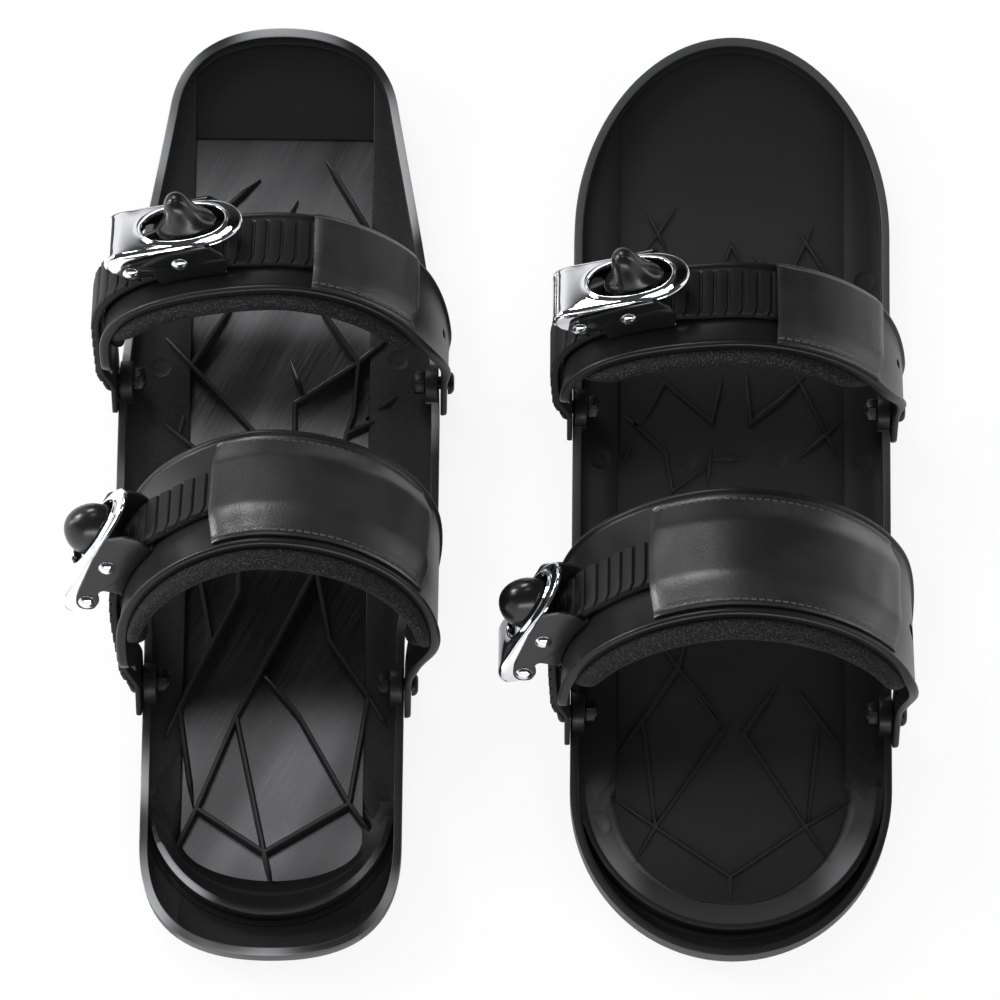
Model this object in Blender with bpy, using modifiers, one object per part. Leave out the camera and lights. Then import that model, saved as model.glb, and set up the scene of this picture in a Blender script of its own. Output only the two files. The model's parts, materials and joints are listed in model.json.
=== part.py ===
# Pair of skiboards: two short plastic boards that are worn over boots, each with a toe strap and
# an ankle strap. Metres, +X to the right, +Y towards the toes, +Z up.
import math

import bpy
import bmesh
from mathutils import Matrix, Vector
from mathutils.geometry import interpolate_bezier

# Fits
GAP = 0.0003            # clearance between pieces that touch
BORE_PLAY = 0.0003      # radial play of a pin or bolt in its hole

# The pair
BOARD_SPACING = 0.208   # between the boards' centre lines
CURVE_STEPS = 7         # points on each round stretch of an outline
WELD = 0.000002         # edges shorter than this are closed up after each cut

# Left deck outline, half widths and the places along it that carry them
LEFT_LENGTH = 0.4346
LEFT_TOE_HALF = 0.0525
LEFT_TOE_CORNER = 0.0333     # from the toe tip back to the corner of the toe
LEFT_WAIST_HALF = 0.0738
LEFT_WAIST_FRONT = 0.036
LEFT_WAIST_BACK = -0.021
LEFT_HEEL_HALF = 0.0592
LEFT_HEEL_FRONT = -0.068
LEFT_TAIL_CORNER = 0.0533    # from the tail tip forward to the heel's straight sides

# Right deck outline
RIGHT_LENGTH = 0.4303
RIGHT_HALF = 0.0729
RIGHT_TOE_ROUND = 0.090
RIGHT_TAIL_ROUND = 0.0786

# Deck section
RIM_WIDTH = 0.0037
RIM_HEIGHT = 0.0140
LEDGE_HEIGHT = 0.0065
FLOOR_HEIGHT = 0.0040
RIB_WIDTH = 0.0024
LEFT_RIB_TOP = 0.0085
RIGHT_RIB_TOP = 0.0058
RING_TOP = 0.0025         # heel ring, across its top
TAIL_FLOOR = 0.0050
TOE_RISE = 0.020
TAIL_RISE = 0.008
TOE_BEND = 0.112             # the length of sole that bends up behind each toe tip
TAIL_BEND = 0.067            # and ahead of each tail tip
BEND_CUTS = {"toe": 5, "tail": 3}
PLATE_THICKNESS = 0.0012
PLATE_OVERLAP = 0.0050
PAN_EDGE = 0.0010            # between the toe's moulded floor and the rim
PAN_OVERLAP = 0.0080         # how far that floor's outline runs back over the left board's steel

# The floor and the heel ring of each board: how far they stay behind the toe tip and ahead of the
# tail tip, and their widths from its centre line. The ring's inner face leans from the cup's foot
# to the cup's lip.
BOARDS = {
    "left": dict(length=LEFT_LENGTH, widest=LEFT_WAIST_HALF, rib_top=LEFT_RIB_TOP,
                 floor_half=LEFT_HEEL_HALF - 0.0178, floor_front=0.0463, floor_rear=0.0374,
                 front_round=0.006, rear_round=0.020, cup_front=0.0743,
                 foot_half=LEFT_HEEL_HALF - 0.0178, lip_half=LEFT_HEEL_HALF - 0.0057,
                 lip_rear=0.0218, lip_round=0.052),
    "right": dict(length=RIGHT_LENGTH, widest=RIGHT_HALF, rib_top=RIGHT_RIB_TOP,
                  floor_half=RIGHT_HALF - 0.0207, floor_front=0.0192, floor_rear=0.0265,
                  front_round=0.060, rear_round=0.052, cup_front=0.0812,
                  foot_half=RIGHT_HALF - 0.0159, lip_half=RIGHT_HALF - 0.0064,
                  lip_rear=0.0152, lip_round=0.066),
}

# Ribs, each a bent bar, laid out from the board's middle on a grid of this many units to the
# board's length and to half its widest width
RIB_GRID = {"left": (434.6, 73.8), "right": (430.3, 72.9)}
RIBS = {
    "left": [
        [(-46, 121), (-23, 141), (-12, 151)], [(-21, 98), (0, 128), (6, 141)], [(20, 160), (46, 118)],
        [(-56, 78), (-41, 62), (-12, 31), (-17, 0)], [(-41, 62), (-26, 86), (-21, 98), (-46, 121)],
        [(0, 128), (21, 86), (36, 64)], [(54, 80), (36, 64), (7, 44), (7, 29), (18, -34)],
        [(5, 64), (11, 47)], [(36, 64), (34, 39), (31, 30), (18, -34)], [(58, 51), (41, 39)],
        [(-57, 37), (-31, 16), (-17, 0), (-17, -46)], [(-46, 29), (-44, 38)], [(48, 38), (31, 30)],
        [(18, -34), (-17, -104), (-34, -147), (-44, -168)], [(18, -34), (25, -68), (43, -94), (54, -112)],
        [(-17, -104), (-3, -167), (1, -184)], [(-6, -83), (12, -104), (35, -144), (47, -160)],
        [(-17, -46), (-44, -101)], [(-45, -16), (-35, -39), (-29, -70), (-43, -100)],
        [(-43, -100), (-36, -144)], [(-43, -100), (-51, -120)], [(35, -144), (-3, -167)],
        [(25, -68), (18, -34), (-17, 0)], [(35, -144), (43, -94)],
    ],
    "right": [
        [(-40, 140), (-29, 118)], [(-26, 140), (-39, 121)], [(30, 132), (51, 98)], [(38, 132), (26, 107)],
        [(-5, 110), (0, 123), (7, 110)], [(9, 119), (22, 108)], [(-41, 37), (-31, 57), (-9, 38), (-4, 60)],
        [(7, 62), (9, 38), (23, 49), (34, 60)], [(-50, 41), (-45, 37), (-30, 23), (-27, 5), (-10, 17)],
        [(30, 61), (49, 22)], [(50, 38), (31, 21)], [(-45, 28), (-51, 16)], [(-9, 28), (-11, 6)],
        [(-9, 20), (7, 21)], [(-34, -65), (-24, -79), (-40, -103), (-51, -119)],
        [(-20, -65), (-24, -79), (-4, -103)], [(-40, -103), (-34, -153)],
        [(0, -103), (-34, -153), (-43, -169)], [(-53, -140), (-34, -153), (0, -176), (0, -187)],
        [(-19, -87), (-3, -108)], [(21, -87), (6, -109), (34, -152), (44, -167)],
        [(54, -140), (34, -152), (0, -176)], [(40, -105), (35, -152)], [(29, -87), (51, -116)],
    ],
}

# Wall lugs, bolts and nuts
LUG_LENGTH = 0.018
LUG_INWARD = 0.0023
LUG_HEIGHT = 0.0240
BOLT_HEIGHT = 0.0170
BOLT_RADIUS = 0.0030
BOLT_HEAD_RADIUS = 0.0053
BOLT_HEAD_HEIGHT = 0.0030
BOLT_SIDES = 12
NUT_FLATS = 0.0100
NUT_THICKNESS = 0.0050
BOLT_TIP = 0.0010            # how far a bolt stands out of its nut
STRAP_REACH = 0.0240         # how far along the wall a swinging strap can pass it
OVERCUT = 0.0100             # how far a cut runs past the surface it opens

# How finely a strap's path is followed
ARCH_SAMPLES = 16
ARCH_SEARCH = 800
TANGENT_STEP = 0.0015
FACET = 0.0105             # length of the flat stretches that a strap bends in

# Strap layers
PAD_THICKNESS = 0.0030
PAD_RAIL = 0.0014
PAD_RAIL_WIDTH = 0.0022
PAD_TAIL_HALF = 0.0100
SPARE_HOLE_PITCH = 0.0170
SPARE_HOLE_RADIUS = 0.0021
LINER_END_HALF = 0.0120
LINER_TAPER = 0.0450
LINER_THICKNESS = 0.0050
STRAP_TAIL = 0.0148          # how far a strap reaches below its bolt
TAIL_RADIUS = 0.0155         # and its round end, which clears the ground at any lean
LADDER_HALF_WIDTH = 0.0130
LADDER_BASE = 0.0024
LADDER_TOOTH = 0.0016
LADDER_PITCH = 0.0060
COVER_THICKNESS = 0.0012

# Buckle, in the plane of its strap: x along the strap, y off it
BUCKLE_FLOOR = 0.0012
BUCKLE_WALL = 0.0016
BUCKLE_SIDE_PLAY = 0.0012
PIN_RADIUS = 0.0019
PIN_HEAD_RADIUS = 0.0037
PIN_HEAD_HEIGHT = 0.0015
PIN_SIDES = 8
PIVOT_BACK = 0.0230          # lever pin behind the release pin
RELEASE_RISE = 0.0100        # release pin above the ladder's underside
LEVER_LENGTH = 0.0530
LEVER_RISE = 0.0090          # lever plate above its pin
LEVER_THICKNESS = 0.0016
LEVER_WRAP = 0.0088          # how far the lever reaches round behind its pin
LEVER_EYE = 0.0044           # half the width of its arms round the pin
WINDOW_START = 0.0075        # from the lever's pin to its window
WINDOW_LENGTH = 0.0380
WINDOW_WIDTH = 0.0205
BUCKLE_NOSE = 0.0030         # how far its side plates reach past its floor
TAB_WIDTH = 0.0150
# Release tab seen from its pin: the pawl's nose behind, its foot ahead, and its neck above, which
# carries a thumb knob. The knob's middle stands ahead of the pin, and its rings give its height
# above the pin and its half sizes along and across the strap.
TAB_OUTLINE = [(-0.0085, -0.0050), (-0.0050, -0.0047), (-0.0010, -0.0040), (0.0035, -0.0034),
               (0.0080, 0.0000), (0.0110, 0.0050), (0.0110, 0.0100), (-0.0010, 0.0100),
               (-0.0042, 0.0042), (-0.0052, 0.0), (-0.0082, -0.0028)]
KNOB_AHEAD = 0.0050
KNOB_RINGS = [(0.0075, 0.0140, 0.0088), (0.0110, 0.0130, 0.0090), (0.0150, 0.0095, 0.0092),
              (0.0200, 0.0068, 0.0090), (0.0250, 0.0052, 0.0078), (0.0275, 0.0030, 0.0048)]
KNOB_SIDES = 14
SPRING_WIRE = 0.0008
SPRING_SPACE = 0.0005        # between its coils
SPRING_COILS = 2
SPRING_POINTS = 8
SPRING_LEG = 0.0045
FLOOR_BACK = 0.0130          # buckle floor, from the release pin to its ends
FLOOR_AHEAD = 0.0180
PAD_END_HEIGHT = 0.0220      # how high above its bolt the pad strap's free end hangs
LINER_END_HEIGHT = 0.0300

# Each strap: place of its bolts from its board's middle, its lean towards the toe, the height of
# the arch inside it, how far its two legs bulge past its bolts and how high, and its buckle and
# the ends of its cover as shares of the arch's half width on their side, negative to the left
STRAPS = {
    "left_toe": dict(board="left", station=0.0519, lean=24.0, height=0.091, bulge_right=0.0007,
                     bulge_right_at=0.016, bulge_left=0.0011, bulge_left_at=0.050, square=0.86,
                     pad_toe=0.0195, pad_heel=0.026, liner_toe=0.015, liner_heel=0.032,
                     buckle_at=-0.50, cover_from=0.21, cover_to=0.775, cover_wide=False),
    "left_ankle": dict(board="left", station=-0.0906, lean=32.0, height=0.118, bulge_right=0.0124,
                       bulge_right_at=0.060, bulge_left=0.0039, bulge_left_at=0.058, square=0.58,
                       pad_toe=0.037, pad_heel=0.036, liner_toe=0.035, liner_heel=0.045,
                       buckle_at=-0.920, cover_from=-0.355, cover_to=0.89, cover_wide=True),
    "right_toe": dict(board="right", station=0.0411, lean=22.0, height=0.079, bulge_right=0.0013,
                      bulge_right_at=0.016, bulge_left=0.0020, bulge_left_at=0.040, square=0.86,
                      pad_toe=0.0195, pad_heel=0.028, liner_toe=0.016, liner_heel=0.034,
                      buckle_at=-0.59, cover_from=0.215, cover_to=0.805, cover_wide=False),
    "right_ankle": dict(board="right", station=-0.1022, lean=28.0, height=0.104, bulge_right=0.0038,
                        bulge_right_at=0.045, bulge_left=0.0018, bulge_left_at=0.045, square=0.62,
                        pad_toe=0.039, pad_heel=0.036, liner_toe=0.037, liner_heel=0.045,
                        buckle_at=-0.965, cover_from=-0.48, cover_to=0.857, cover_wide=True),
}

# Colours
BLACK_PLASTIC = ((0.012, 0.012, 0.013), 0.38, 0.0)
BLACK_FOAM = ((0.018, 0.018, 0.019), 0.95, 0.0)
BLACK_LEATHER = ((0.014, 0.014, 0.015), 0.5, 0.0)
DARK_STEEL = ((0.05, 0.05, 0.053), 0.35, 1.0)
BRUSHED_STEEL = ((0.30, 0.30, 0.31), 0.35, 1.0)
CHROME = ((0.85, 0.85, 0.87), 0.06, 1.0)


def collection(name):
    group = bpy.data.collections.new(name)
    bpy.context.scene.collection.children.link(group)
    return group


def finish_of(look):
    colour, roughness, metallic = look
    name = "finish_%d_%d_%d" % (colour[0] * 1000, roughness * 100, metallic)
    material = bpy.data.materials.get(name)
    if material is None:
        material = bpy.data.materials.new(name)
        material.use_nodes = True
        shader = material.node_tree.nodes["Principled BSDF"]
        shader.inputs["Base Color"].default_value = (*colour, 1.0)
        shader.inputs["Roughness"].default_value = roughness
        shader.inputs["Metallic"].default_value = metallic
    return material


def mesh_object(name, bm):
    mesh = bpy.data.meshes.new(name)
    bm.to_mesh(mesh)
    bm.free()
    obj = bpy.data.objects.new(name, mesh)
    PARTS.objects.link(obj)
    return obj


def settle(obj):
    """Replace an object's mesh by its evaluated one and drop its modifiers."""
    graph = bpy.context.evaluated_depsgraph_get()
    graph.update()
    mesh = bpy.data.meshes.new_from_object(obj.evaluated_get(graph))
    obj.modifiers.clear()
    obj.data = mesh
    return obj


def boolean(obj, tool, operation="DIFFERENCE"):
    """Cut, join or trim obj with tool, which is used up."""
    modifier = obj.modifiers.new(operation.lower(), "BOOLEAN")
    modifier.operation = operation
    modifier.object = tool
    modifier.solver = "EXACT"
    settle(obj)
    bpy.data.objects.remove(tool)
    bm = bmesh.new()
    bm.from_mesh(obj.data)
    bmesh.ops.dissolve_degenerate(bm, dist=WELD, edges=bm.edges)
    bm.to_mesh(obj.data)
    bm.free()
    return obj


def prism(name, low, high, bottom, top):
    """A solid between one outline at the bottom height and a like one at the top."""
    bm = bmesh.new()
    rings = []
    for outline, height in ((low, bottom), (high, top)):
        ring = [bm.verts.new((x, y, height)) for x, y in outline]
        bm.faces.new(ring)
        rings.append(ring)
    for index in range(len(low)):
        after = (index + 1) % len(low)
        bm.faces.new((rings[0][index], rings[0][after], rings[1][after], rings[1][index]))
    bmesh.ops.recalc_face_normals(bm, faces=bm.faces)
    return mesh_object(name, bm)


def plate(name, outline, low, high, upright=False):
    """A flat outline between two heights or, when upright, in the XZ plane between two Y places."""
    curve = bpy.data.curves.new(name, "CURVE")
    curve.dimensions = "2D"
    curve.fill_mode = "BOTH"
    curve.extrude = (high - low) / 2
    spline = curve.splines.new("POLY")
    spline.points.add(len(outline) - 1)
    for point, (x, y) in zip(spline.points, outline):
        point.co = (x, y, 0.0, 1.0)
    spline.use_cyclic_u = True
    guide = bpy.data.objects.new(name, curve)
    PARTS.objects.link(guide)
    graph = bpy.context.evaluated_depsgraph_get()
    graph.update()
    flat = bpy.data.meshes.new_from_object(guide.evaluated_get(graph))
    bpy.data.objects.remove(guide)
    bm = bmesh.new()
    bm.from_mesh(flat)
    bmesh.ops.remove_doubles(bm, verts=bm.verts, dist=0.00001)
    if upright:
        bmesh.ops.rotate(bm, cent=(0, 0, 0), matrix=Matrix.Rotation(math.pi / 2, 3, "X"), verts=bm.verts)
    middle = (low + high) / 2
    bmesh.ops.translate(bm, vec=(0, middle, 0) if upright else (0, 0, middle), verts=bm.verts)
    bmesh.ops.recalc_face_normals(bm, faces=bm.faces)
    return mesh_object(name, bm)


def block(name, size, centre, turn=0.0):
    bm = bmesh.new()
    bmesh.ops.create_cube(bm, size=1.0)
    bmesh.ops.scale(bm, vec=size, verts=bm.verts)
    bmesh.ops.rotate(bm, cent=(0, 0, 0), matrix=Matrix.Rotation(turn, 3, "Z"), verts=bm.verts)
    bmesh.ops.translate(bm, vec=centre, verts=bm.verts)
    return mesh_object(name, bm)


def cylinder(name, radius, depth, centre, axis="X", sides=20, turn=0.0):
    bm = bmesh.new()
    bmesh.ops.create_cone(bm, cap_ends=True, segments=sides, radius1=radius, radius2=radius, depth=depth)
    bmesh.ops.rotate(bm, cent=(0, 0, 0), matrix=Matrix.Rotation(turn, 3, "Z"), verts=bm.verts)
    if axis != "Z":
        across = "Y" if axis == "X" else "X"
        bmesh.ops.rotate(bm, cent=(0, 0, 0), matrix=Matrix.Rotation(math.pi / 2, 3, across), verts=bm.verts)
    bmesh.ops.translate(bm, vec=centre, verts=bm.verts)
    return mesh_object(name, bm)


def bezier_half(knots):
    """Half an outline from (point, handle in, handle out) knots, from the toe tip to the tail tip."""
    points = []
    for (start, _, leave), (end, arrive, _) in zip(knots, knots[1:]):
        steps = CURVE_STEPS + 1 if leave != start or arrive != end else 2
        points += [Vector(p) for p in interpolate_bezier(start, leave, arrive, end, steps)][:-1]
    points.append(Vector(knots[-1][0]))
    return points


def whole(half):
    """Both sides of a half outline whose ends lie on the centre line, counter-clockwise."""
    right = [(p.x, p.y) for p in half]
    left = [(-x, y) for x, y in right[1:-1]]
    return right[::-1] + left


def inset(half, distance):
    """A half outline moved inwards by a distance, its ends kept on the centre line."""
    moved = []
    for index, point in enumerate(half):
        before = half[max(index - 1, 0)]
        after = half[min(index + 1, len(half) - 1)]
        along = (after - before).normalized()
        inward = Vector((along.y, -along.x))
        if index in (0, len(half) - 1):
            inward = Vector((0.0, -1.0 if index == 0 else 1.0))
        moved.append(point + inward * distance)
    return moved


def left_half():
    tip = LEFT_LENGTH / 2
    flare = Vector((0.19, -1.0)).normalized()
    corner = Vector((LEFT_TOE_HALF, tip - LEFT_TOE_CORNER))
    tail_corner = Vector((LEFT_HEEL_HALF, -tip + LEFT_TAIL_CORNER))
    front = Vector((LEFT_WAIST_HALF, LEFT_WAIST_FRONT))
    back = Vector((LEFT_WAIST_HALF, LEFT_WAIST_BACK))
    heel = Vector((LEFT_HEEL_HALF, LEFT_HEEL_FRONT))
    flank = corner.y - front.y
    bay = back.y - heel.y
    return bezier_half([
        (Vector((0, tip)), None, Vector((LEFT_TOE_HALF * 0.65, tip))),
        (corner, corner - flare * LEFT_TOE_CORNER * 0.55, corner + flare * flank * 0.4),
        (front, front + Vector((0, flank * 0.3)), front),
        (back, back, back - Vector((0, bay * 0.5))),
        (heel, heel + Vector((0, bay * 0.5)), heel),
        (tail_corner, tail_corner, tail_corner - Vector((0, LEFT_TAIL_CORNER * 0.72))),
        (Vector((0, -tip)), Vector((LEFT_HEEL_HALF * 0.64, -tip)), None),
    ])


def round_half(half_width, toe, tail, toe_round, tail_round):
    """Half an outline with straight sides and two elliptic ends."""
    arc = 4 / 3 * (math.sqrt(2) - 1)
    front = Vector((half_width, toe - toe_round))
    back = Vector((half_width, tail + tail_round))
    return bezier_half([
        (Vector((0, toe)), None, Vector((half_width * arc, toe))),
        (front, front + Vector((0, toe_round * arc)), front),
        (back, back, back - Vector((0, tail_round * arc))),
        (Vector((0, tail)), Vector((half_width * arc, tail)), None),
    ])


def cup_half(half_width, front, tail, tail_round):
    """Half an outline with a square front and one elliptic end."""
    arc = 4 / 3 * (math.sqrt(2) - 1)
    middle = Vector((0, front))
    corner = Vector((half_width, front))
    back = Vector((half_width, tail + tail_round))
    return bezier_half([
        (middle, None, middle),
        (corner, corner, corner),
        (back, back, back - Vector((0, tail_round * arc))),
        (Vector((0, tail)), Vector((half_width * arc, tail)), None),
    ])


def half_width_at(half, place):
    """The deck's half width at a place along it."""
    for upper, lower in zip(half, half[1:]):
        if lower.y <= place <= upper.y:
            share = (upper.y - place) / max(upper.y - lower.y, 1e-9)
            return upper.x + (lower.x - upper.x) * share
    return 0.0


def bar_outline(points, width):
    """The outline of a bar of even width that follows a few points."""
    sides = ([], [])
    for index, point in enumerate(points):
        before = points[max(index - 1, 0)]
        after = points[min(index + 1, len(points) - 1)]
        entering = (point - before).normalized()
        leaving = (after - point).normalized()
        along = (entering + leaving).normalized()
        across = Vector((-along.y, along.x))
        reach = width / 2 / max(abs(along.dot(leaving if leaving.length else entering)), 0.5)
        end = (index == 0) - (index == len(points) - 1)
        foot = point - along * end * width / 2
        sides[0].append(foot + across * reach)
        sides[1].append(foot - across * reach)
    return [(p.x, p.y) for p in sides[0] + sides[1][::-1]]


def rise(place, length):
    """How far the sole bends up at a place along a deck."""
    toe = max(place - length / 2 + TOE_BEND, 0.0) / TOE_BEND
    tail = max(TAIL_BEND - length / 2 - place, 0.0) / TAIL_BEND
    return TOE_RISE * toe ** 2 + TAIL_RISE * tail ** 2


def bend(obj, length):
    """Cut a flat piece across at even steps where the deck bends, then bend it up."""
    bm = bmesh.new()
    bm.from_mesh(obj.data)
    stations = [length / 2 - TOE_BEND * step / BEND_CUTS["toe"] for step in range(1, BEND_CUTS["toe"] + 1)]
    stations += [TAIL_BEND * step / BEND_CUTS["tail"] - length / 2 for step in range(1, BEND_CUTS["tail"] + 1)]
    for station in stations:
        geometry = bm.verts[:] + bm.edges[:] + bm.faces[:]
        bmesh.ops.bisect_plane(bm, geom=geometry, dist=1e-6, plane_co=(0, station, 0), plane_no=(0, 1, 0))
    for vertex in bm.verts:
        vertex.co.z += rise(vertex.co.y, length)
    bm.to_mesh(obj.data)
    bm.free()
    return obj


def deck(name, board):
    """A moulded tray: rim, ledges, floor with ribs, heel ring, lugs and bolt holes."""
    sizes = BOARDS[board]
    half = HALVES[board]
    inner = inset(half, RIM_WIDTH)
    above = RIM_HEIGHT + OVERCUT
    cup_front = sizes["cup_front"] - sizes["length"] / 2
    lip_rear = sizes["lip_rear"] - sizes["length"] / 2
    ring_half = half_width_at(inner, cup_front) + RIM_WIDTH / 2
    ring_rear = lip_rear - RING_TOP

    def ring(front):
        shape = cup_half(ring_half, front, ring_rear, sizes["lip_round"])
        return plate("ring", whole(shape), -OVERCUT, above + OVERCUT)

    body = plate(name, whole(half), 0.0, RIM_HEIGHT)
    tray = plate("tray", whole(inner), LEDGE_HEIGHT, above)
    boolean(body, boolean(tray, ring(cup_front)))
    tail = plate("tail", whole(inner), TAIL_FLOOR, above)
    boolean(body, boolean(tail, ring(sizes["length"])))

    floor_rear = sizes["floor_rear"] - sizes["length"] / 2
    foot = cup_half(sizes["foot_half"], cup_front, floor_rear, sizes["rear_round"])
    lip = cup_half(sizes["lip_half"], cup_front + OVERCUT / 20, lip_rear, sizes["lip_round"])
    boolean(body, prism("cup", whole(foot), whole(lip), FLOOR_HEIGHT, RIM_HEIGHT + OVERCUT / 20))

    through = board == "left"
    floor = floor_half(board, 0.0)
    if through:
        boolean(body, plate("pan", whole(toe_pan(board)), FLOOR_HEIGHT, above))
    else:
        floor = toe_line(board, sizes["floor_half"]) + [point for point in floor if point.y < 0]
    boolean(body, plate("floor", whole(floor), -OVERCUT if through else FLOOR_HEIGHT, above))
    root = PLATE_THICKNESS if through else FLOOR_HEIGHT - PLATE_THICKNESS
    grid_length, grid_half = RIB_GRID[board]
    for path in RIBS[board]:
        points = [Vector((x / grid_half * sizes["widest"], y / grid_length * sizes["length"])) for x, y in path]
        rib = plate("rib", bar_outline(points, RIB_WIDTH), root, sizes["rib_top"])
        boolean(body, rib, "UNION")
    if through:
        recess = plate("recess", whole(floor_half(board, PLATE_OVERLAP + GAP)), -OVERCUT, PLATE_THICKNESS + GAP)
        boolean(body, recess)
    for strap in STRAPS.values():
        if strap["board"] == board:
            add_lugs(body, half, strap["station"])
    return bend(body, sizes["length"])


def toe_line(board, limit):
    """Half the outline of the toe inside the rim, from its tip to where it is as wide as a limit."""
    inner = inset(HALVES[board], RIM_WIDTH + PAN_EDGE)
    count = next(index for index, point in enumerate(inner) if point.x >= limit)
    before, after = inner[count - 1], inner[count]
    share = (limit - before.x) / (after.x - before.x)
    return inner[:count] + [before.lerp(after, share)]


def toe_pan(board):
    """Half the outline of the moulded floor in front of the steel plate, which it runs up to."""
    sizes = BOARDS[board]
    limit = sizes["floor_half"] - PAN_EDGE / 2
    rear = sizes["length"] / 2 - sizes["floor_front"] - PAN_OVERLAP
    return toe_line(board, limit) + [Vector((limit, rear)), Vector((0, rear))]


def floor_half(board, margin):
    """Half the outline of a board's floor, let out by a margin."""
    sizes = BOARDS[board]
    front = sizes["length"] / 2 - sizes["floor_front"] + margin
    rear = sizes["floor_rear"] - sizes["length"] / 2 - margin
    return round_half(sizes["floor_half"] + margin, front, rear,
                      sizes["front_round"] + margin, sizes["rear_round"] + margin)


def sole_plate(name):
    return bend(plate(name, whole(floor_half("left", PLATE_OVERLAP)), 0.0, PLATE_THICKNESS), LEFT_LENGTH)


def wall_face(half, station):
    """How far out the wall is beside a strap, so that the strap clears it as it swings."""
    reaches = [station + STRAP_REACH * step / 4 for step in range(-4, 5)]
    return max(half_width_at(half, place) for place in reaches)


def add_lugs(body, half, station):
    """Raise and thicken both walls at a pair of bolts, and bore them."""
    outer = half_width_at(half, station)
    for side in (-1, 1):
        inner_face = outer - RIM_WIDTH - LUG_INWARD
        outer_face = outer - GAP
        size = (outer_face - inner_face, LUG_LENGTH, LUG_HEIGHT - FLOOR_HEIGHT)
        centre = (side * (outer_face + inner_face) / 2, station, (LUG_HEIGHT + FLOOR_HEIGHT) / 2)
        boolean(body, block("lug", size, centre), "UNION")
        bore = cylinder("bore", BOLT_RADIUS + BORE_PLAY, 4 * RIM_WIDTH + OVERCUT,
                        (side * outer, station, BOLT_HEIGHT))
        boolean(body, bore)


def smooth(value, start, end):
    """From 0 at start to 1 at end, with a soft start and stop."""
    share = min(max((value - start) / (end - start), 0.0), 1.0)
    return share * share * (3 - 2 * share)


class Arch:
    """A strap's path round the boot, in its own plane: x across the board, y up the lean.

    It runs from the tail below the left bolt, over the top, to the tail below the right bolt.
    """

    def __init__(self, foot, sizes):
        top = sizes["height"]
        left, left_at = -foot - sizes["bulge_left"], sizes["bulge_left_at"]
        right, right_at = foot + sizes["bulge_right"], sizes["bulge_right_at"]
        arc = 4 / 3 * (math.sqrt(2) - 1)
        square = sizes["square"]
        pieces = [
            ((-foot, -STRAP_TAIL), (-foot, -STRAP_TAIL / 2), (-foot, -STRAP_TAIL / 4), (-foot, 0)),
            ((-foot, 0), (-foot, left_at / 2), (left, left_at * 2 / 3), (left, left_at)),
            ((left, left_at), (left, left_at + square * (top - left_at)), (left * (1 - square), top), (0, top)),
            ((0, top), (right * arc, top), (right, right_at + arc * (top - right_at)), (right, right_at)),
            ((right, right_at), (right, right_at * 2 / 3), (foot, right_at / 2), (foot, 0)),
            ((foot, 0), (foot, -STRAP_TAIL / 4), (foot, -STRAP_TAIL / 2), (foot, -STRAP_TAIL)),
        ]
        self.widest = {-1: -left, 1: right}
        self.points = []
        for piece in pieces:
            samples = interpolate_bezier(*[Vector((*corner, 0)) for corner in piece], ARCH_SAMPLES + 1)
            self.points += [Vector((p.x, p.y)) for p in samples][:-1]
        self.points.append(Vector((foot, -STRAP_TAIL)))
        self.lengths = [0.0]
        for before, after in zip(self.points, self.points[1:]):
            self.lengths.append(self.lengths[-1] + (after - before).length)
        self.total = self.lengths[-1]
        self.left_bolt = STRAP_TAIL
        self.right_bolt = self.total - STRAP_TAIL
        self.apex = self.lengths[3 * ARCH_SAMPLES]
        self.edges = []
        for start, end in ((0.0, self.apex), (self.apex, self.total)):
            count = round((end - start) / FACET)
            self.edges += [start + (end - start) * index / count for index in range(count)]
        self.edges.append(self.total)

    def middle(self, place):
        """The point at a distance along the path."""
        place = min(max(place, 0.0), self.total)
        index = max(i for i in range(len(self.lengths) - 1) if self.lengths[i] <= place)
        step = self.lengths[index + 1] - self.lengths[index]
        return self.points[index].lerp(self.points[index + 1], (place - self.lengths[index]) / step)

    def tangent(self, place):
        return (self.middle(place + TANGENT_STEP) - self.middle(place - TANGENT_STEP)).normalized()

    def normal(self, place):
        along = self.tangent(place)
        return Vector((-along.y, along.x))

    def at(self, place, lift):
        """The point at a distance along the path and a distance off it, away from the boot. It lies
        on flat facets that every layer of the strap shares, so the gaps between layers stay even."""
        index = max(i for i, edge in enumerate(self.edges[:-1]) if edge <= max(place, 0.0))
        start, end = self.edges[index:index + 2]
        corners = [self.middle(edge) + self.normal(edge) * lift for edge in (start, end)]
        return corners[0].lerp(corners[1], (place - start) / (end - start))

    def places(self, start, end):
        """Both ends of a stretch of the path and the facet edges between them."""
        return [start] + [edge for edge in self.edges if start + GAP < edge < end - GAP] + [end]

    def place_of(self, share):
        """The distance along the path to its highest point that lies a given share of its half
        width from the middle, to the left where the share is below zero."""
        way = -1 if share < 0 else 1
        reach = self.apex if share < 0 else self.total - self.apex
        places = [self.apex + way * reach * step / ARCH_SEARCH for step in range(ARCH_SEARCH + 1)]
        return next(s for s in places if self.middle(s).x * way >= abs(share) * self.widest[way])

    def height_place(self, height, left=True):
        """The distance along the left or right leg where it has risen to a given height."""
        places = [self.total / 2 * step / ARCH_SEARCH for step in range(ARCH_SEARCH + 1)]
        if not left:
            places = [self.total - s for s in places]
        return next(s for s in places if self.middle(s).y >= height)


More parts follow.
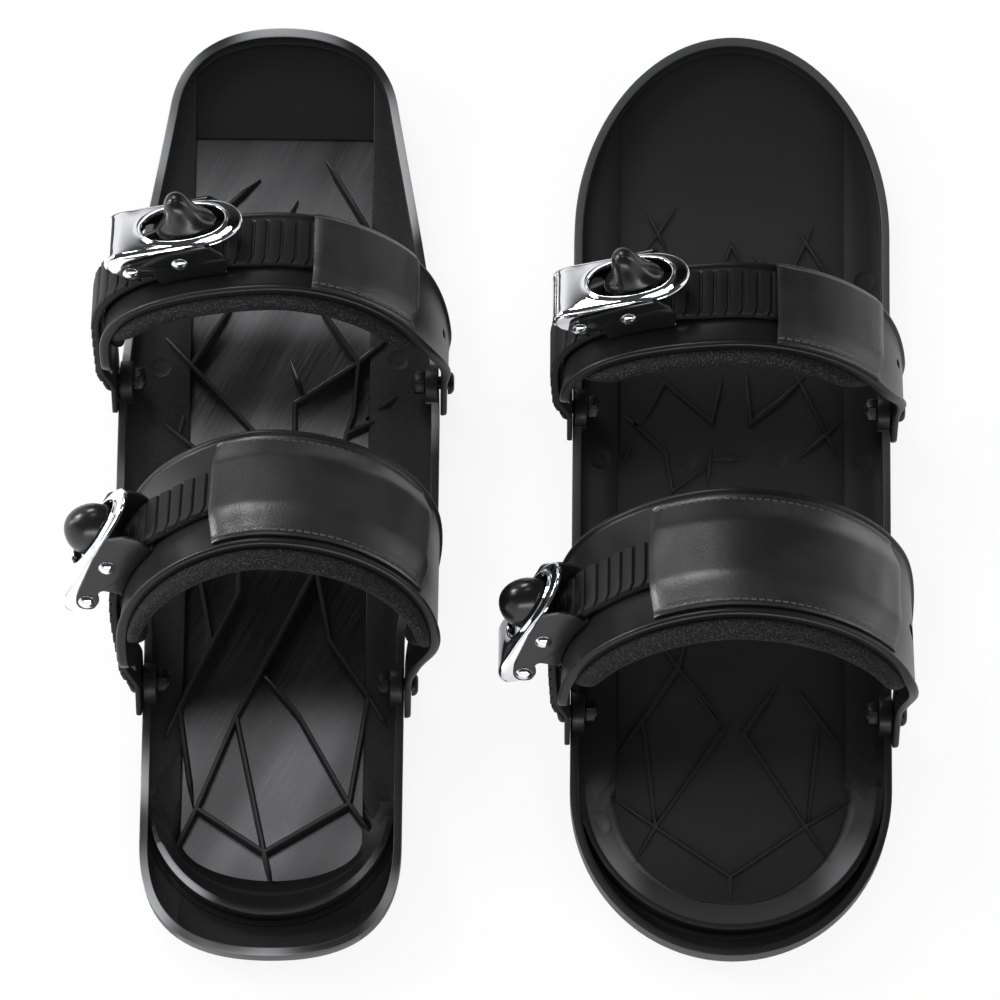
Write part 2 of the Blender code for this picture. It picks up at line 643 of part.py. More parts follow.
def bent_sheet(name, arch, start, end, rows, thickness):
    """A sheet bent along the arch. rows gives, at a place along it, its points across the strap,
    from the heel side to the toe side, each with its height off the path."""
    places = arch.places(start, end)
    count = len(rows(start))
    bm = bmesh.new()
    bmesh.ops.create_grid(bm, x_segments=len(places) - 1, y_segments=count - 1, size=0.5)
    raised = bmesh.ops.extrude_face_region(bm, geom=bm.faces[:])["geom"]
    for vertex in raised:
        if isinstance(vertex, bmesh.types.BMVert):
            vertex.co.z = thickness
    for vertex in bm.verts:
        place = places[round((vertex.co.x + 0.5) * (len(places) - 1))]
        across, lift = rows(place)[round((vertex.co.y + 0.5) * (count - 1))]
        point = arch.at(place, lift + vertex.co.z)
        vertex.co = (point.x, across, point.y)
    return outward(mesh_object(name, bm))


def outward(obj):
    """Turn the faces of a closed piece outwards."""
    bm = bmesh.new()
    bm.from_mesh(obj.data)
    bmesh.ops.recalc_face_normals(bm, faces=bm.faces)
    bm.to_mesh(obj.data)
    bm.free()
    return obj


def turned(name, profile, sides):
    """A solid of revolution about Z from a profile of radius and height, run from the top down."""
    bm = bmesh.new()
    rim = [bm.verts.new((radius, 0.0, height)) for radius, height in profile]
    for upper, lower in zip(rim, rim[1:]):
        bm.edges.new((upper, lower))
    obj = mesh_object(name, bm)
    spin = obj.modifiers.new("turn", "SCREW")
    spin.steps = spin.render_steps = sides
    spin.use_merge_vertices = True
    spin.merge_threshold = 0.00001
    settle(obj)
    return outward(obj)


def aim(obj, axis, centre):
    """Point a turned piece's top along X or Y, either way, and move it to its place."""
    way = Vector((0, 0, 1)).rotation_difference(Vector(axis)).to_matrix()
    bm = bmesh.new()
    bm.from_mesh(obj.data)
    bmesh.ops.rotate(bm, cent=(0, 0, 0), matrix=way, verts=bm.verts)
    bmesh.ops.translate(bm, vec=centre, verts=bm.verts)
    bm.to_mesh(obj.data)
    bm.free()
    return obj


def bolt(name, side, face, reach):
    """A button head bolt whose head sits on a face and whose shank runs inwards."""
    socket = BOLT_HEAD_RADIUS * 0.38
    profile = [
        (0.0, BOLT_HEAD_HEIGHT * 0.4), (socket, BOLT_HEAD_HEIGHT * 0.4), (socket, BOLT_HEAD_HEIGHT),
        (BOLT_HEAD_RADIUS * 0.72, BOLT_HEAD_HEIGHT * 0.86), (BOLT_HEAD_RADIUS, BOLT_HEAD_HEIGHT * 0.3),
        (BOLT_HEAD_RADIUS, 0.0), (BOLT_RADIUS, 0.0), (BOLT_RADIUS, -reach), (0.0, -reach),
    ]
    return aim(turned(name, profile, BOLT_SIDES), (side, 0, 0), (side * face, 0, 0))


def nut(name, side, face):
    """A hexagon nut whose outer side sits against a face inside the wall."""
    middle = side * (face - NUT_THICKNESS / 2)
    radius = NUT_FLATS / math.sqrt(3)
    body = cylinder(name, radius, NUT_THICKNESS, (middle, 0, 0), sides=6, turn=math.pi / 6)
    return boolean(body, cylinder("bore", BOLT_RADIUS + BORE_PLAY, 2 * NUT_THICKNESS, (middle, 0, 0), sides=12))


def rivet(name, point, reach):
    """A pin across the strap's width with a domed head at each end."""
    profile = [(0.0, PIN_HEAD_HEIGHT), (PIN_HEAD_RADIUS * 0.6, PIN_HEAD_HEIGHT * 0.8),
               (PIN_HEAD_RADIUS * 0.92, PIN_HEAD_HEIGHT * 0.4), (PIN_HEAD_RADIUS, 0.0), (PIN_RADIUS, 0.0)]
    profile = [(radius, reach + height) for radius, height in profile]
    profile += [(radius, -height) for radius, height in reversed(profile)]
    return aim(turned(name, profile, PIN_SIDES), (0, 1, 0), (point.x, 0, point.y))


def knob():
    """A thumb knob of elliptic rings that narrow upwards."""
    bm = bmesh.new()
    rings = []
    for height, along, across in KNOB_RINGS:
        turn = [math.tau * step / KNOB_SIDES for step in range(KNOB_SIDES)]
        rings.append([bm.verts.new((KNOB_AHEAD + along * math.cos(t), across * math.sin(t), height)) for t in turn])
    bm.faces.new(rings[0])
    bm.faces.new(rings[-1])
    for lower, upper in zip(rings, rings[1:]):
        for index in range(KNOB_SIDES):
            after = (index + 1) % KNOB_SIDES
            bm.faces.new((lower[index], lower[after], upper[after], upper[index]))
    return outward(mesh_object("knob", bm))


BASE_INNER = LADDER_HALF_WIDTH + BUCKLE_SIDE_PLAY
BASE_HALF = BASE_INNER + BUCKLE_WALL
LEVER_HALF = BASE_INNER - GAP
PAD_TOP = PAD_THICKNESS + GAP
LADDER_OVER_FLOOR = PAD_TOP + BUCKLE_FLOOR + GAP
LADDER_TOP = LADDER_BASE + LADDER_TOOTH


class Strap:
    """One toe or ankle strap with its ratchet buckle, bolts and nuts."""

    def __init__(self, name, sizes, board):
        self.name = name
        self.sizes = sizes
        self.outer = half_width_at(HALVES[sizes["board"]], sizes["station"])
        self.foot = wall_face(HALVES[sizes["board"]], sizes["station"]) + GAP
        self.arch = Arch(self.foot, sizes)
        self.pad_start = self.arch.height_place(PAD_END_HEIGHT)
        self.buckle_place = self.arch.place_of(sizes["buckle_at"])
        self.frame = empty(name + "_hinge", board, (0, sizes["station"], BOLT_HEIGHT))
        self.frame.rotation_euler.x = -math.radians(sizes["lean"])
        origin = self.arch.at(self.buckle_place, LADDER_OVER_FLOOR)
        along = self.arch.tangent(self.buckle_place)
        self.buckle = empty(name + "_buckle", self.frame, (origin.x, 0, origin.y))
        self.buckle.rotation_euler.y = -math.atan2(along.y, along.x)
        self.lever_axis = empty(name + "_lever_axis", self.buckle, (-PIVOT_BACK, 0, RELEASE_RISE))
        self.release_axis = empty(name + "_release_axis", self.buckle, (0, 0, RELEASE_RISE))

    def add(self, suffix, obj, look, parent=None):
        obj.name = obj.data.name = self.name + "_" + suffix
        obj.parent = parent or self.frame
        obj.data.materials.clear()
        obj.data.materials.append(finish_of(look))
        obj.data.shade_smooth()
        obj.data.set_sharp_from_angle(angle=math.radians(35))

    def buckle_point(self, x, y):
        """A point given from the buckle's origin, in the strap's plane."""
        along = self.arch.tangent(self.buckle_place)
        outward_way = self.arch.normal(self.buckle_place)
        return self.arch.at(self.buckle_place, LADDER_OVER_FLOOR) + along * x + outward_way * y

    def ladder_bends(self):
        """Where the ladder strap starts and stops its climb to the buckle and its drop behind it."""
        leave = self.buckle_place + FLOOR_AHEAD
        climb = (self.arch.left_bolt + 1.2 * BOLT_HEAD_RADIUS, self.pad_start - 3 * GAP)
        drop = (leave + 2 * GAP, leave + 2 * LADDER_PITCH)
        return [*climb, sum(climb) / 2, *drop, sum(drop) / 2]

    def ladder_lift(self, place):
        """How far off the path the ladder strap's inner face runs: on the wall at its bolt, over the
        buckle's floor, then down on the pad strap."""
        foot, pad, _, leave, settled, _ = self.ladder_bends()
        climb = smooth(place, foot, pad)
        drop = smooth(place, leave, settled)
        return LADDER_OVER_FLOOR * climb - (LADDER_OVER_FLOOR - PAD_TOP) * drop

    def ladder(self):
        arch = self.arch
        end = arch.place_of(self.sizes["cover_from"]) + 2 * LADDER_PITCH
        outline = [arch.at(s, self.ladder_lift(s)) for s in sorted(arch.places(0.0, end) + self.ladder_bends())]
        outer = [(s, LADDER_BASE) for s in (0.0, arch.left_bolt, arch.left_bolt + 1.2 * BOLT_HEAD_RADIUS)]
        first = arch.left_bolt + 1.6 * BOLT_HEAD_RADIUS
        for tooth in range(int((end - first) / LADDER_PITCH)):
            root = first + tooth * LADDER_PITCH
            outer += [(root, LADDER_BASE), (root + 0.12 * LADDER_PITCH, LADDER_TOP),
                      (root + 0.72 * LADDER_PITCH, LADDER_TOP), (root + 0.84 * LADDER_PITCH, LADDER_BASE)]
        outer.append((end, LADDER_BASE))
        outline += [arch.at(s, self.ladder_lift(s) + lift) for s, lift in reversed(outer)]
        body = plate("ladder", [tuple(p) for p in outline], -LADDER_HALF_WIDTH, LADDER_HALF_WIDTH, upright=True)
        self.add("ladder", self.round_tail(body, -1), BLACK_PLASTIC)

    def round_tail(self, body, side):
        """Round a strap's lower end about its bolt, and bore it."""
        corners = block("corners", (OVERCUT, 4 * TAIL_RADIUS, 2 * STRAP_TAIL), (side * self.foot, 0, -STRAP_TAIL))
        boolean(corners, cylinder("disc", TAIL_RADIUS, 2 * OVERCUT, (side * self.foot, 0, 0), sides=24))
        boolean(body, corners)
        return boolean(body, cylinder("bore", BOLT_RADIUS + BORE_PLAY, OVERCUT, (side * self.foot, 0, 0), sides=16))

    def pad_edges(self, place):
        """The pad strap's heel side and toe side edges at a place along the path."""
        sizes = self.sizes
        full_heel, full_toe = sizes["pad_heel"], sizes["pad_toe"]
        shoulder = self.arch.height_place(sizes["height"] * 0.62, left=False)
        tail = smooth(place, self.arch.right_bolt - BOLT_HEAD_RADIUS, shoulder)
        end = smooth(place, self.pad_start, self.pad_start + 0.7 * full_heel)
        heel = -min(PAD_TAIL_HALF + (full_heel - PAD_TAIL_HALF) * tail,
                    BASE_HALF + max(full_heel - BASE_HALF, 0.0) * end)
        toe = min(PAD_TAIL_HALF + (full_toe - PAD_TAIL_HALF) * tail,
                  BASE_HALF + max(full_toe - BASE_HALF, 0.0) * end)
        return heel, toe

    def pad(self):
        arch = self.arch
        def rows(place):
            heel, toe = self.pad_edges(place)
            rail = PAD_RAIL * smooth(arch.right_bolt - place, 2 * BOLT_HEAD_RADIUS, 4 * BOLT_HEAD_RADIUS)
            return [(heel, rail), (heel + PAD_RAIL_WIDTH, rail), (heel + 1.6 * PAD_RAIL_WIDTH, 0.0),
                    (toe - 1.6 * PAD_RAIL_WIDTH, 0.0), (toe - PAD_RAIL_WIDTH, rail), (toe, rail)]

        body = bent_sheet("pad", arch, self.pad_start, arch.total, rows, PAD_THICKNESS)
        self.round_tail(body, 1)
        for spare in (1, 2):
            place = arch.right_bolt - spare * SPARE_HOLE_PITCH
            hole = cylinder("hole", SPARE_HOLE_RADIUS, OVERCUT, (0, 0, 0), axis="Z", sides=10)
            point = arch.middle(place)
            way = arch.normal(place)
            boolean(body, aim(hole, (way.x, 0, way.y), (point.x, 0, point.y)))
        self.add("strap", body, BLACK_PLASTIC)

    def liner(self):
        arch, sizes = self.arch, self.sizes
        start = arch.height_place(LINER_END_HEIGHT)
        end = arch.height_place(LINER_END_HEIGHT, left=False)
        depth = LINER_THICKNESS + GAP

        def rows(place):
            spread = smooth(min(place - start, end - place), 0.0, LINER_TAPER)
            heel = LINER_END_HALF + (sizes["liner_heel"] - LINER_END_HALF) * spread
            toe = LINER_END_HALF + (sizes["liner_toe"] - LINER_END_HALF) * spread
            return [(-heel, -depth), (toe, -depth)]

        self.add("liner", bent_sheet("liner", arch, start, end, rows, LINER_THICKNESS), BLACK_FOAM)

    def cover(self):
        arch, sizes = self.arch, self.sizes
        start = arch.place_of(sizes["cover_from"])
        end = arch.place_of(sizes["cover_to"])
        over = PAD_TOP + LADDER_TOP + GAP
        shoulder = LADDER_HALF_WIDTH + 2 * GAP
        margin, hem = (2 * PAD_RAIL_WIDTH, PAD_TOP) if sizes["cover_wide"] else (2 * GAP, PAD_TOP + PAD_RAIL)

        def rows(place):
            heel, toe = self.pad_edges(place)
            heel, toe = heel + margin, toe - margin
            return [(heel, hem), (-shoulder, over), (shoulder, over), (toe, hem)]

        self.add("cover", bent_sheet("cover", arch, start, end, rows, COVER_THICKNESS), BLACK_LEATHER)

    def buckle_base(self):
        arch, centre = self.arch, self.buckle_place
        back, ahead = centre - FLOOR_BACK, centre + FLOOR_AHEAD
        half = BASE_HALF - BUCKLE_WALL / 2

        def rows(place):
            return [(-half, PAD_TOP), (half, PAD_TOP)]

        body = bent_sheet("base", arch, back, ahead, rows, BUCKLE_FLOOR)
        middle = PAD_TOP + BUCKLE_FLOOR / 2
        under = [arch.at(place, middle) for place in arch.places(back + BUCKLE_FLOOR, ahead - BUCKLE_FLOOR)]
        pivot, rise_up = -PIVOT_BACK, RELEASE_RISE
        hook = PIN_HEAD_RADIUS + BUCKLE_WALL
        brow = rise_up + 1.4 * hook
        over = [(FLOOR_AHEAD + BUCKLE_NOSE, rise_up * 0.4), (FLOOR_AHEAD + BUCKLE_NOSE * 0.7, rise_up),
                (FLOOR_AHEAD - BUCKLE_NOSE, brow), (0.0, brow), (pivot / 2, brow - BUCKLE_NOSE / 3),
                (pivot, rise_up + hook), (pivot - hook * 0.8, rise_up + hook * 0.6), (pivot - hook, rise_up),
                (pivot - hook * 0.6, rise_up - hook * 0.9), (pivot + hook * 0.5, rise_up - hook),
                (pivot + hook, rise_up - hook * 0.5), (-FLOOR_BACK - BUCKLE_NOSE / 3, rise_up - hook * 0.6)]
        outline = [tuple(p) for p in under] + [tuple(self.buckle_point(x, y)) for x, y in over]
        for side in (-1, 1):
            low, high = sorted((side * BASE_INNER, side * BASE_HALF))
            boolean(body, plate("side", outline, low, high, upright=True), "UNION")
        for x in (0.0, pivot):
            point = self.buckle_point(x, rise_up)
            bore = cylinder("bore", PIN_RADIUS + BORE_PLAY, 3 * BASE_HALF, (point.x, 0, point.y), axis="Y", sides=12)
            boolean(body, bore)
        self.add("buckle_base", body, DARK_STEEL)

    def lever_line(self):
        """The lever plate's underside from behind its pin to its tip, seen from the pin."""
        rise_up = LEVER_RISE
        back, tip = -LEVER_WRAP, LEVER_LENGTH
        wrap = [(back, 0.0), (back * 1.35, rise_up * 0.65), (back * 0.9, rise_up), (back * 0.1, rise_up)]
        top = [(back * 0.1, rise_up), (tip * 0.4, rise_up), (tip * 0.78, rise_up), (tip, rise_up * 0.68)]
        samples = [interpolate_bezier(*[Vector((*p, 0)) for p in piece], count)
                   for piece, count in ((wrap, 6), (top, 9))]
        return [Vector((p.x, p.y)) for p in samples[0][:-1] + samples[1]]

    def lever_width(self, place):
        """Half the lever plate's width, which narrows to a round tip."""
        shoulder = LEVER_LENGTH * 0.66
        past = max(place - shoulder, 0.0) / (LEVER_LENGTH * 1.03 - shoulder)
        return LEVER_HALF * math.sqrt(1 - past ** 2)

    def lever(self):
        line = self.lever_line()
        across = [-LEVER_HALF, -LEVER_HALF * 0.5, LEVER_HALF * 0.5, LEVER_HALF]
        bm = bmesh.new()
        bmesh.ops.create_grid(bm, x_segments=len(line) - 1, y_segments=len(across) - 1, size=0.5)
        for vertex in bm.verts:
            index = round((vertex.co.x + 0.5) * (len(line) - 1))
            row = round((vertex.co.y + 0.5) * (len(across) - 1))
            narrow = self.lever_width(line[index].x) / LEVER_HALF
            vertex.co = (line[index].x, across[row] * narrow, line[index].y)
        body = mesh_object("lever", bm)
        shell = body.modifiers.new("thickness", "SOLIDIFY")
        shell.thickness = LEVER_THICKNESS
        shell.offset = 1.0
        outward(settle(body))
        turn = [math.tau * step / 16 for step in range(16)]
        centre = WINDOW_START + WINDOW_LENGTH / 2
        oval = [(centre + WINDOW_LENGTH / 2 * math.cos(t), WINDOW_WIDTH / 2 * math.sin(t)) for t in turn]
        boolean(body, plate("window", oval, LEVER_RISE * 0.7, LEVER_RISE * 1.4))
        middle = [p + Vector((0 if p.x > 0 else -LEVER_THICKNESS / 2, LEVER_THICKNESS / 2))
                  for p in line if p.x < LEVER_LENGTH * 0.62]
        eye = LEVER_EYE
        lower = [(-eye * 1.1, -eye * 0.7), (-eye * 0.5, -eye * 1.15), (eye * 0.5, -eye * 1.1),
                 (eye * 1.1, -eye * 0.6), (eye * 1.4, eye * 0.2), (eye * 2.6, LEVER_RISE * 0.40),
                 (PIVOT_BACK * 1.2, LEVER_RISE * 0.52), (LEVER_LENGTH * 0.62, LEVER_RISE * 0.84)]
        outline = lower + [tuple(p) for p in reversed(middle)]
        for side in (-1, 1):
            face = LEVER_HALF - GAP / 2
            low, high = sorted((side * (face - LEVER_THICKNESS), side * face))
            boolean(body, plate("ear", outline, low, high, upright=True), "UNION")
        bore = cylinder("bore", PIN_RADIUS + BORE_PLAY, 3 * LEVER_HALF, (0, 0, 0), axis="Y", sides=12)
        self.add("lever", boolean(body, bore), CHROME, self.lever_axis)

    def release_tab(self):
        body = plate("tab", TAB_OUTLINE, -TAB_WIDTH / 2, TAB_WIDTH / 2, upright=True)
        boolean(body, knob(), "UNION")
        bore = cylinder("bore", PIN_RADIUS + BORE_PLAY, 2 * TAB_WIDTH, (0, 0, 0), axis="Y", sides=12)
        self.add("release_tab", boolean(body, bore), BLACK_PLASTIC, self.release_axis)

    def pawl_spring(self):
        """A torsion spring round the release pin, beside the tab, with two straight legs."""
        radius = PIN_RADIUS + 2 * GAP + SPRING_WIRE / 2
        pitch = SPRING_WIRE + SPRING_SPACE
        inner = TAB_WIDTH / 2 + 1.5 * SPRING_WIRE
        points = [Vector((-radius, inner, -SPRING_LEG))]
        for step in range(SPRING_COILS * SPRING_POINTS + 1):
            turn = math.tau * step / SPRING_POINTS
            across = inner + pitch * step / SPRING_POINTS
            points.append(Vector((-radius * math.cos(turn), across, radius * math.sin(turn))))
        points.append(Vector((-radius, inner + pitch * SPRING_COILS, SPRING_LEG)))
        apart = min((one - other).length for index, one in enumerate(points)
                    for other in points[index + SPRING_POINTS // 2:])
        print(self.name, "spring's least gap to itself", round((apart - SPRING_WIRE) * 1000, 2), "mm")
        curve = bpy.data.curves.new("spring", "CURVE")
        curve.dimensions = "3D"
        curve.bevel_depth = SPRING_WIRE / 2
        curve.bevel_resolution = 1
        curve.use_fill_caps = True
        spline = curve.splines.new("POLY")
        spline.points.add(len(points) - 1)
        for point, place in zip(spline.points, points):
            point.co = (*place, 1.0)
        obj = bpy.data.objects.new(self.name + "_pawl_spring", curve)
        PARTS.objects.link(obj)
        obj.parent = self.release_axis
        curve.materials.append(finish_of(DARK_STEEL))

    def fasteners(self):
        wall = RIM_WIDTH + LUG_INWARD
        inner_face = self.outer - wall - GAP
        faces = {"ladder": (-1, self.foot + LADDER_BASE + GAP), "strap": (1, self.foot + PAD_THICKNESS + GAP)}
        for kind, (side, face) in faces.items():
            reach = face - inner_face + NUT_THICKNESS + BOLT_TIP
            self.add(kind + "_bolt", bolt("bolt", side, face, reach), DARK_STEEL)
            self.add(kind + "_nut", nut("nut", side, inner_face), DARK_STEEL)
        for suffix, axis in (("lever_pin", self.lever_axis), ("release_pin", self.release_axis)):
            self.add(suffix, rivet("pin", Vector((0, 0)), BASE_HALF + GAP), CHROME, axis)

    def build(self):
        self.ladder()
        self.pad()
        self.liner()
        self.cover()
        self.buckle_base()
        self.lever()
        self.release_tab()
        self.pawl_spring()
        self.fasteners()


def empty(name, parent, location):
    obj = bpy.data.objects.new(name, None)
    PARTS.objects.link(obj)
    obj.parent = parent
    obj.location = location
    return obj


def build_all():
    boards = {side: empty(side + "_board", None, (way * BOARD_SPACING / 2, 0, 0))
              for side, way in (("left", -1), ("right", 1))}
    decks = [("left", deck("left_deck", "left"), BLACK_PLASTIC),
             ("left", sole_plate("left_sole_plate"), BRUSHED_STEEL),
             ("right", deck("right_deck", "right"), BLACK_PLASTIC)]
    for side, obj, look in decks:
        obj.parent = boards[side]
        obj.data.materials.clear()
        obj.data.materials.append(finish_of(look))
    straps = [Strap(name, sizes, boards[sizes["board"]]) for name, sizes in STRAPS.items()]
    for strap in straps:
        strap.build()
    centre(boards.values())
    for strap in straps:
        report(strap)


def centre(boards):
    """Move both boards together so that the middle of the pair's box stands on the origin."""
    bpy.context.view_layer.update()
    graph = bpy.context.evaluated_depsgraph_get()
    corners = []
    for obj in PARTS.objects:
        if obj.type != "EMPTY":
            shape = obj.evaluated_get(graph)
            mesh = shape.to_mesh()
            corners += [obj.matrix_world @ vertex.co for vertex in mesh.vertices]
            shape.to_mesh_clear()
    for axis in (0, 1):
        places = [corner[axis] for corner in corners]
        for board in boards:
            board.location[axis] -= (min(places) + max(places)) / 2
    bpy.context.view_layer.update()


def report(strap):
    for axis in (strap.frame, strap.lever_axis, strap.release_axis):
        place = axis.matrix_world.translation
        way = axis.matrix_world.to_3x3() @ Vector((0, 1, 0))
        print(axis.name, [round(v, 5) for v in place], [round(v, 5) for v in way])


for old in list(bpy.data.objects):
    bpy.data.objects.remove(old)
PARTS = collection("skiboards")
HALVES = {"left": left_half(),
          "right": round_half(RIGHT_HALF, RIGHT_LENGTH / 2, -RIGHT_LENGTH / 2, RIGHT_TOE_ROUND, RIGHT_TAIL_ROUND)}
build_all()
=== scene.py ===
import json
import math

import bpy
import bmesh
from mathutils import Matrix, Vector, noise
from mathutils.geometry import interpolate_bezier


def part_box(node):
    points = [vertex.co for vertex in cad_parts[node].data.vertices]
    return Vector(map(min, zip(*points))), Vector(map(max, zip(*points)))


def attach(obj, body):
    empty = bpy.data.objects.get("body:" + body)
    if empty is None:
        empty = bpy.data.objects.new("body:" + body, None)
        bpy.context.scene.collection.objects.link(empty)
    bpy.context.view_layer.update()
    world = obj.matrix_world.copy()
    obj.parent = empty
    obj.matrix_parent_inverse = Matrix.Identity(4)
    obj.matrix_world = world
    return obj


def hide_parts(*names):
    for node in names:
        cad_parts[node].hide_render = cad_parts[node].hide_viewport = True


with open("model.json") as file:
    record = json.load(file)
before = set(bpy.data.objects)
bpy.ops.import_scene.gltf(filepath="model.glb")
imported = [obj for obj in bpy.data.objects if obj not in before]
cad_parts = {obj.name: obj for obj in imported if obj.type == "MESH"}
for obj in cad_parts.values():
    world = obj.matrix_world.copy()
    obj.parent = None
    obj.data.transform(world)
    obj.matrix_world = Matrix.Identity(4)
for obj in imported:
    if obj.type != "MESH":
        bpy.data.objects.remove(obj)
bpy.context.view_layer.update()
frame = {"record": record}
print("frame loaded")

mm = 0.001


class Wire:
    # a shader socket that can be added, multiplied and so on
    def __init__(self, look, socket):
        self.look = look
        self.socket = socket

    def math(self, operation, other=None, turned=False):
        first, second = (other, self) if turned else (self, other)
        sockets = {0: first} if second is None else {0: first, 1: second}
        return self.look.node("ShaderNodeMath", {"operation": operation}, sockets)

    def __add__(self, other):
        return self.math("ADD", other)

    def __sub__(self, other):
        return self.math("SUBTRACT", other)

    def __rsub__(self, other):
        return self.math("SUBTRACT", other, turned=True)

    def __mul__(self, other):
        return self.math("MULTIPLY", other)

    def __truediv__(self, other):
        return self.math("DIVIDE", other)

    def __pow__(self, other):
        return self.math("POWER", other)

    __radd__, __rmul__ = __add__, __mul__

    def smooth(self, low, high):
        # 0 below low, 1 above high, soft between
        sockets = {"Value": self, "From Min": low, "From Max": high}
        return self.look.node("ShaderNodeMapRange", {"interpolation_type": "SMOOTHSTEP"}, sockets)


class Nodes:
    # a node tree, with one way to add any node to it
    def __init__(self, owner):
        owner.use_nodes = True
        self.tree = owner.node_tree
        self.place = self.node("ShaderNodeTexCoord", output="Object")

    def node(self, kind, settings=None, sockets=None, output=0):
        made = self.tree.nodes.new(kind)
        for label, value in (settings or {}).items():
            if label == "stops":
                ramp = made.color_ramp
                while len(ramp.elements) < len(value):
                    ramp.elements.new(0.5)
                for element, (spot, level) in zip(ramp.elements, value):
                    element.position = spot
                    element.color = (level, level, level, 1.0)
            else:
                setattr(made, label, value)
        for label, value in (sockets or {}).items():
            self.feed(made.inputs[label], value)
        return Wire(self, made.outputs[output])

    def feed(self, socket, value):
        if isinstance(value, Wire):
            self.tree.links.new(value.socket, socket)
        elif isinstance(value, tuple) and len(value) == 3 and len(socket.default_value) == 4:
            socket.default_value = (*value, 1.0)
        else:
            socket.default_value = value

    def stretched(self, degrees, scale):
        # the place in a turned frame with its own scale each way
        sockets = {"Vector": self.place, "Rotation": (0, 0, math.radians(degrees)), "Scale": scale}
        return self.node("ShaderNodeMapping", {"vector_type": "TEXTURE"}, sockets)

    def attribute(self, name, output):
        return self.node("ShaderNodeAttribute", {"attribute_name": name}, output=output)

    def noise(self, scale, detail=3.0, rough=0.5, source=None):
        sockets = {"Vector": source or self.place, "Scale": scale, "Detail": detail, "Roughness": rough}
        return self.node("ShaderNodeTexNoise", {}, sockets)

    def grains(self, scale):
        return self.node("ShaderNodeTexVoronoi", {}, {"Vector": self.place, "Scale": scale})

    def axis(self, letter, source=None):
        return self.node("ShaderNodeSeparateXYZ", {}, {"Vector": source or self.place}, "XYZ".index(letter))

    def blend(self, share, first, second):
        return self.node("ShaderNodeMix", {"data_type": "RGBA"}, {0: share, 6: first, 7: second}, 2)

    def greys(self, share, shades):
        return self.blend(share, *(grey(shade) for shade in shades))


class Look(Nodes):
    # one material: its shader and whatever feeds it
    def __init__(self, name, **base):
        self.material = bpy.data.materials.new(name)
        super().__init__(self.material)
        self.shader = self.tree.nodes["Principled BSDF"]
        self.output = self.tree.nodes["Material Output"]
        self.set(**base)

    def set(self, **values):
        for label, value in values.items():
            self.feed(self.shader.inputs[label.replace("_", " ")], value)

    def bump(self, height, depth, strength):
        sockets = {"Height": height, "Distance": depth * mm, "Strength": strength}
        return self.node("ShaderNodeBump", {}, sockets)


def grey(level):
    return (level, level, level * 1.03)


quarterArc = 4 / 3 * (math.sqrt(2) - 1)   # how far a handle reaches for a quarter circle of radius 1


def xy(x, y):
    return Vector((x, y, 0.0))


def lerp(a, b, share):
    return a + (b - a) * share


def smoothStep(value, start, end):
    share = min(max((value - start) / (end - start), 0.0), 1.0)
    return share * share * (3 - 2 * share)


def turns(count):
    return [math.tau * step / count for step in range(count)]


def steps(start, end, spacing):
    # places from start to end, about so far apart
    count = max(int(round((end - start) / spacing)), 2)
    return [lerp(start, end, step / count) for step in range(count + 1)]


def ringEdges(bm, loop):
    return [bm.edges.get((loop[i], loop[(i + 1) % len(loop)])) for i in range(len(loop))]


def addLoft(bm, rings, caps=True, closed=False):
    # a skin through rings of equal count: the first is a circle moved into shape, the rest are
    # extruded from it one after the other
    made = bmesh.ops.create_circle(bm, cap_ends=False, segments=len(rings[0]), radius=1.0)["verts"]
    edges = ringEdges(bm, made)
    for vertex, point in zip(made, rings[0]):
        vertex.co = point
    firstEdges, loops = edges, [made]
    for ring in rings[1:]:
        grown = bmesh.ops.extrude_edge_only(bm, edges=edges)["geom"]
        fresh = {v for v in grown if isinstance(v, bmesh.types.BMVert)}
        nextRing = [next(e.other_vert(v) for e in v.link_edges if e.other_vert(v) in fresh) for v in made]
        for vertex, point in zip(nextRing, ring):
            vertex.co = point
        made = nextRing
        edges = ringEdges(bm, made)
        loops.append(made)
    if closed:
        bmesh.ops.bridge_loops(bm, edges=firstEdges + edges)
    elif caps:
        bmesh.ops.contextual_create(bm, geom=firstEdges)
        bmesh.ops.contextual_create(bm, geom=edges)
    return loops


def roundEdges(bm, edges, radius, segments=3):
    edges = [e for e in edges if e is not None and e.is_valid]
    bmesh.ops.bevel(bm, geom=edges, offset=radius, segments=segments, profile=0.5, affect="EDGES",
                    material=-1, clamp_overlap=True)


def finishPiece(name, bm, matrix, look, merge=0.0, sharp=35):
    # sharp is the angle in degrees from which an edge isn't shaded smooth
    if merge:
        bmesh.ops.remove_doubles(bm, verts=bm.verts, dist=merge)
        bmesh.ops.dissolve_degenerate(bm, dist=merge / 10, edges=bm.edges)
    bmesh.ops.recalc_face_normals(bm, faces=bm.faces)
    bmesh.ops.transform(bm, matrix=matrix, verts=bm.verts)
    mesh = bpy.data.meshes.new(name)
    bm.to_mesh(mesh)
    bm.free()
    mesh.shade_smooth()
    mesh.set_sharp_from_angle(angle=math.radians(sharp))
    mesh.materials.append(look.material)
    obj = bpy.data.objects.new(name, mesh)
    bpy.context.scene.collection.objects.link(obj)
    return obj


def bezierPath(knots, steps):
    # (point, handle in, handle out) knots made into an even run of points
    points = []
    for (start, _, leave), (end, arrive, _) in zip(knots, knots[1:]):
        points += [Vector(p) for p in interpolate_bezier(start, leave, arrive, end, steps + 1)][:-1]
    return points + [Vector(knots[-1][0])]


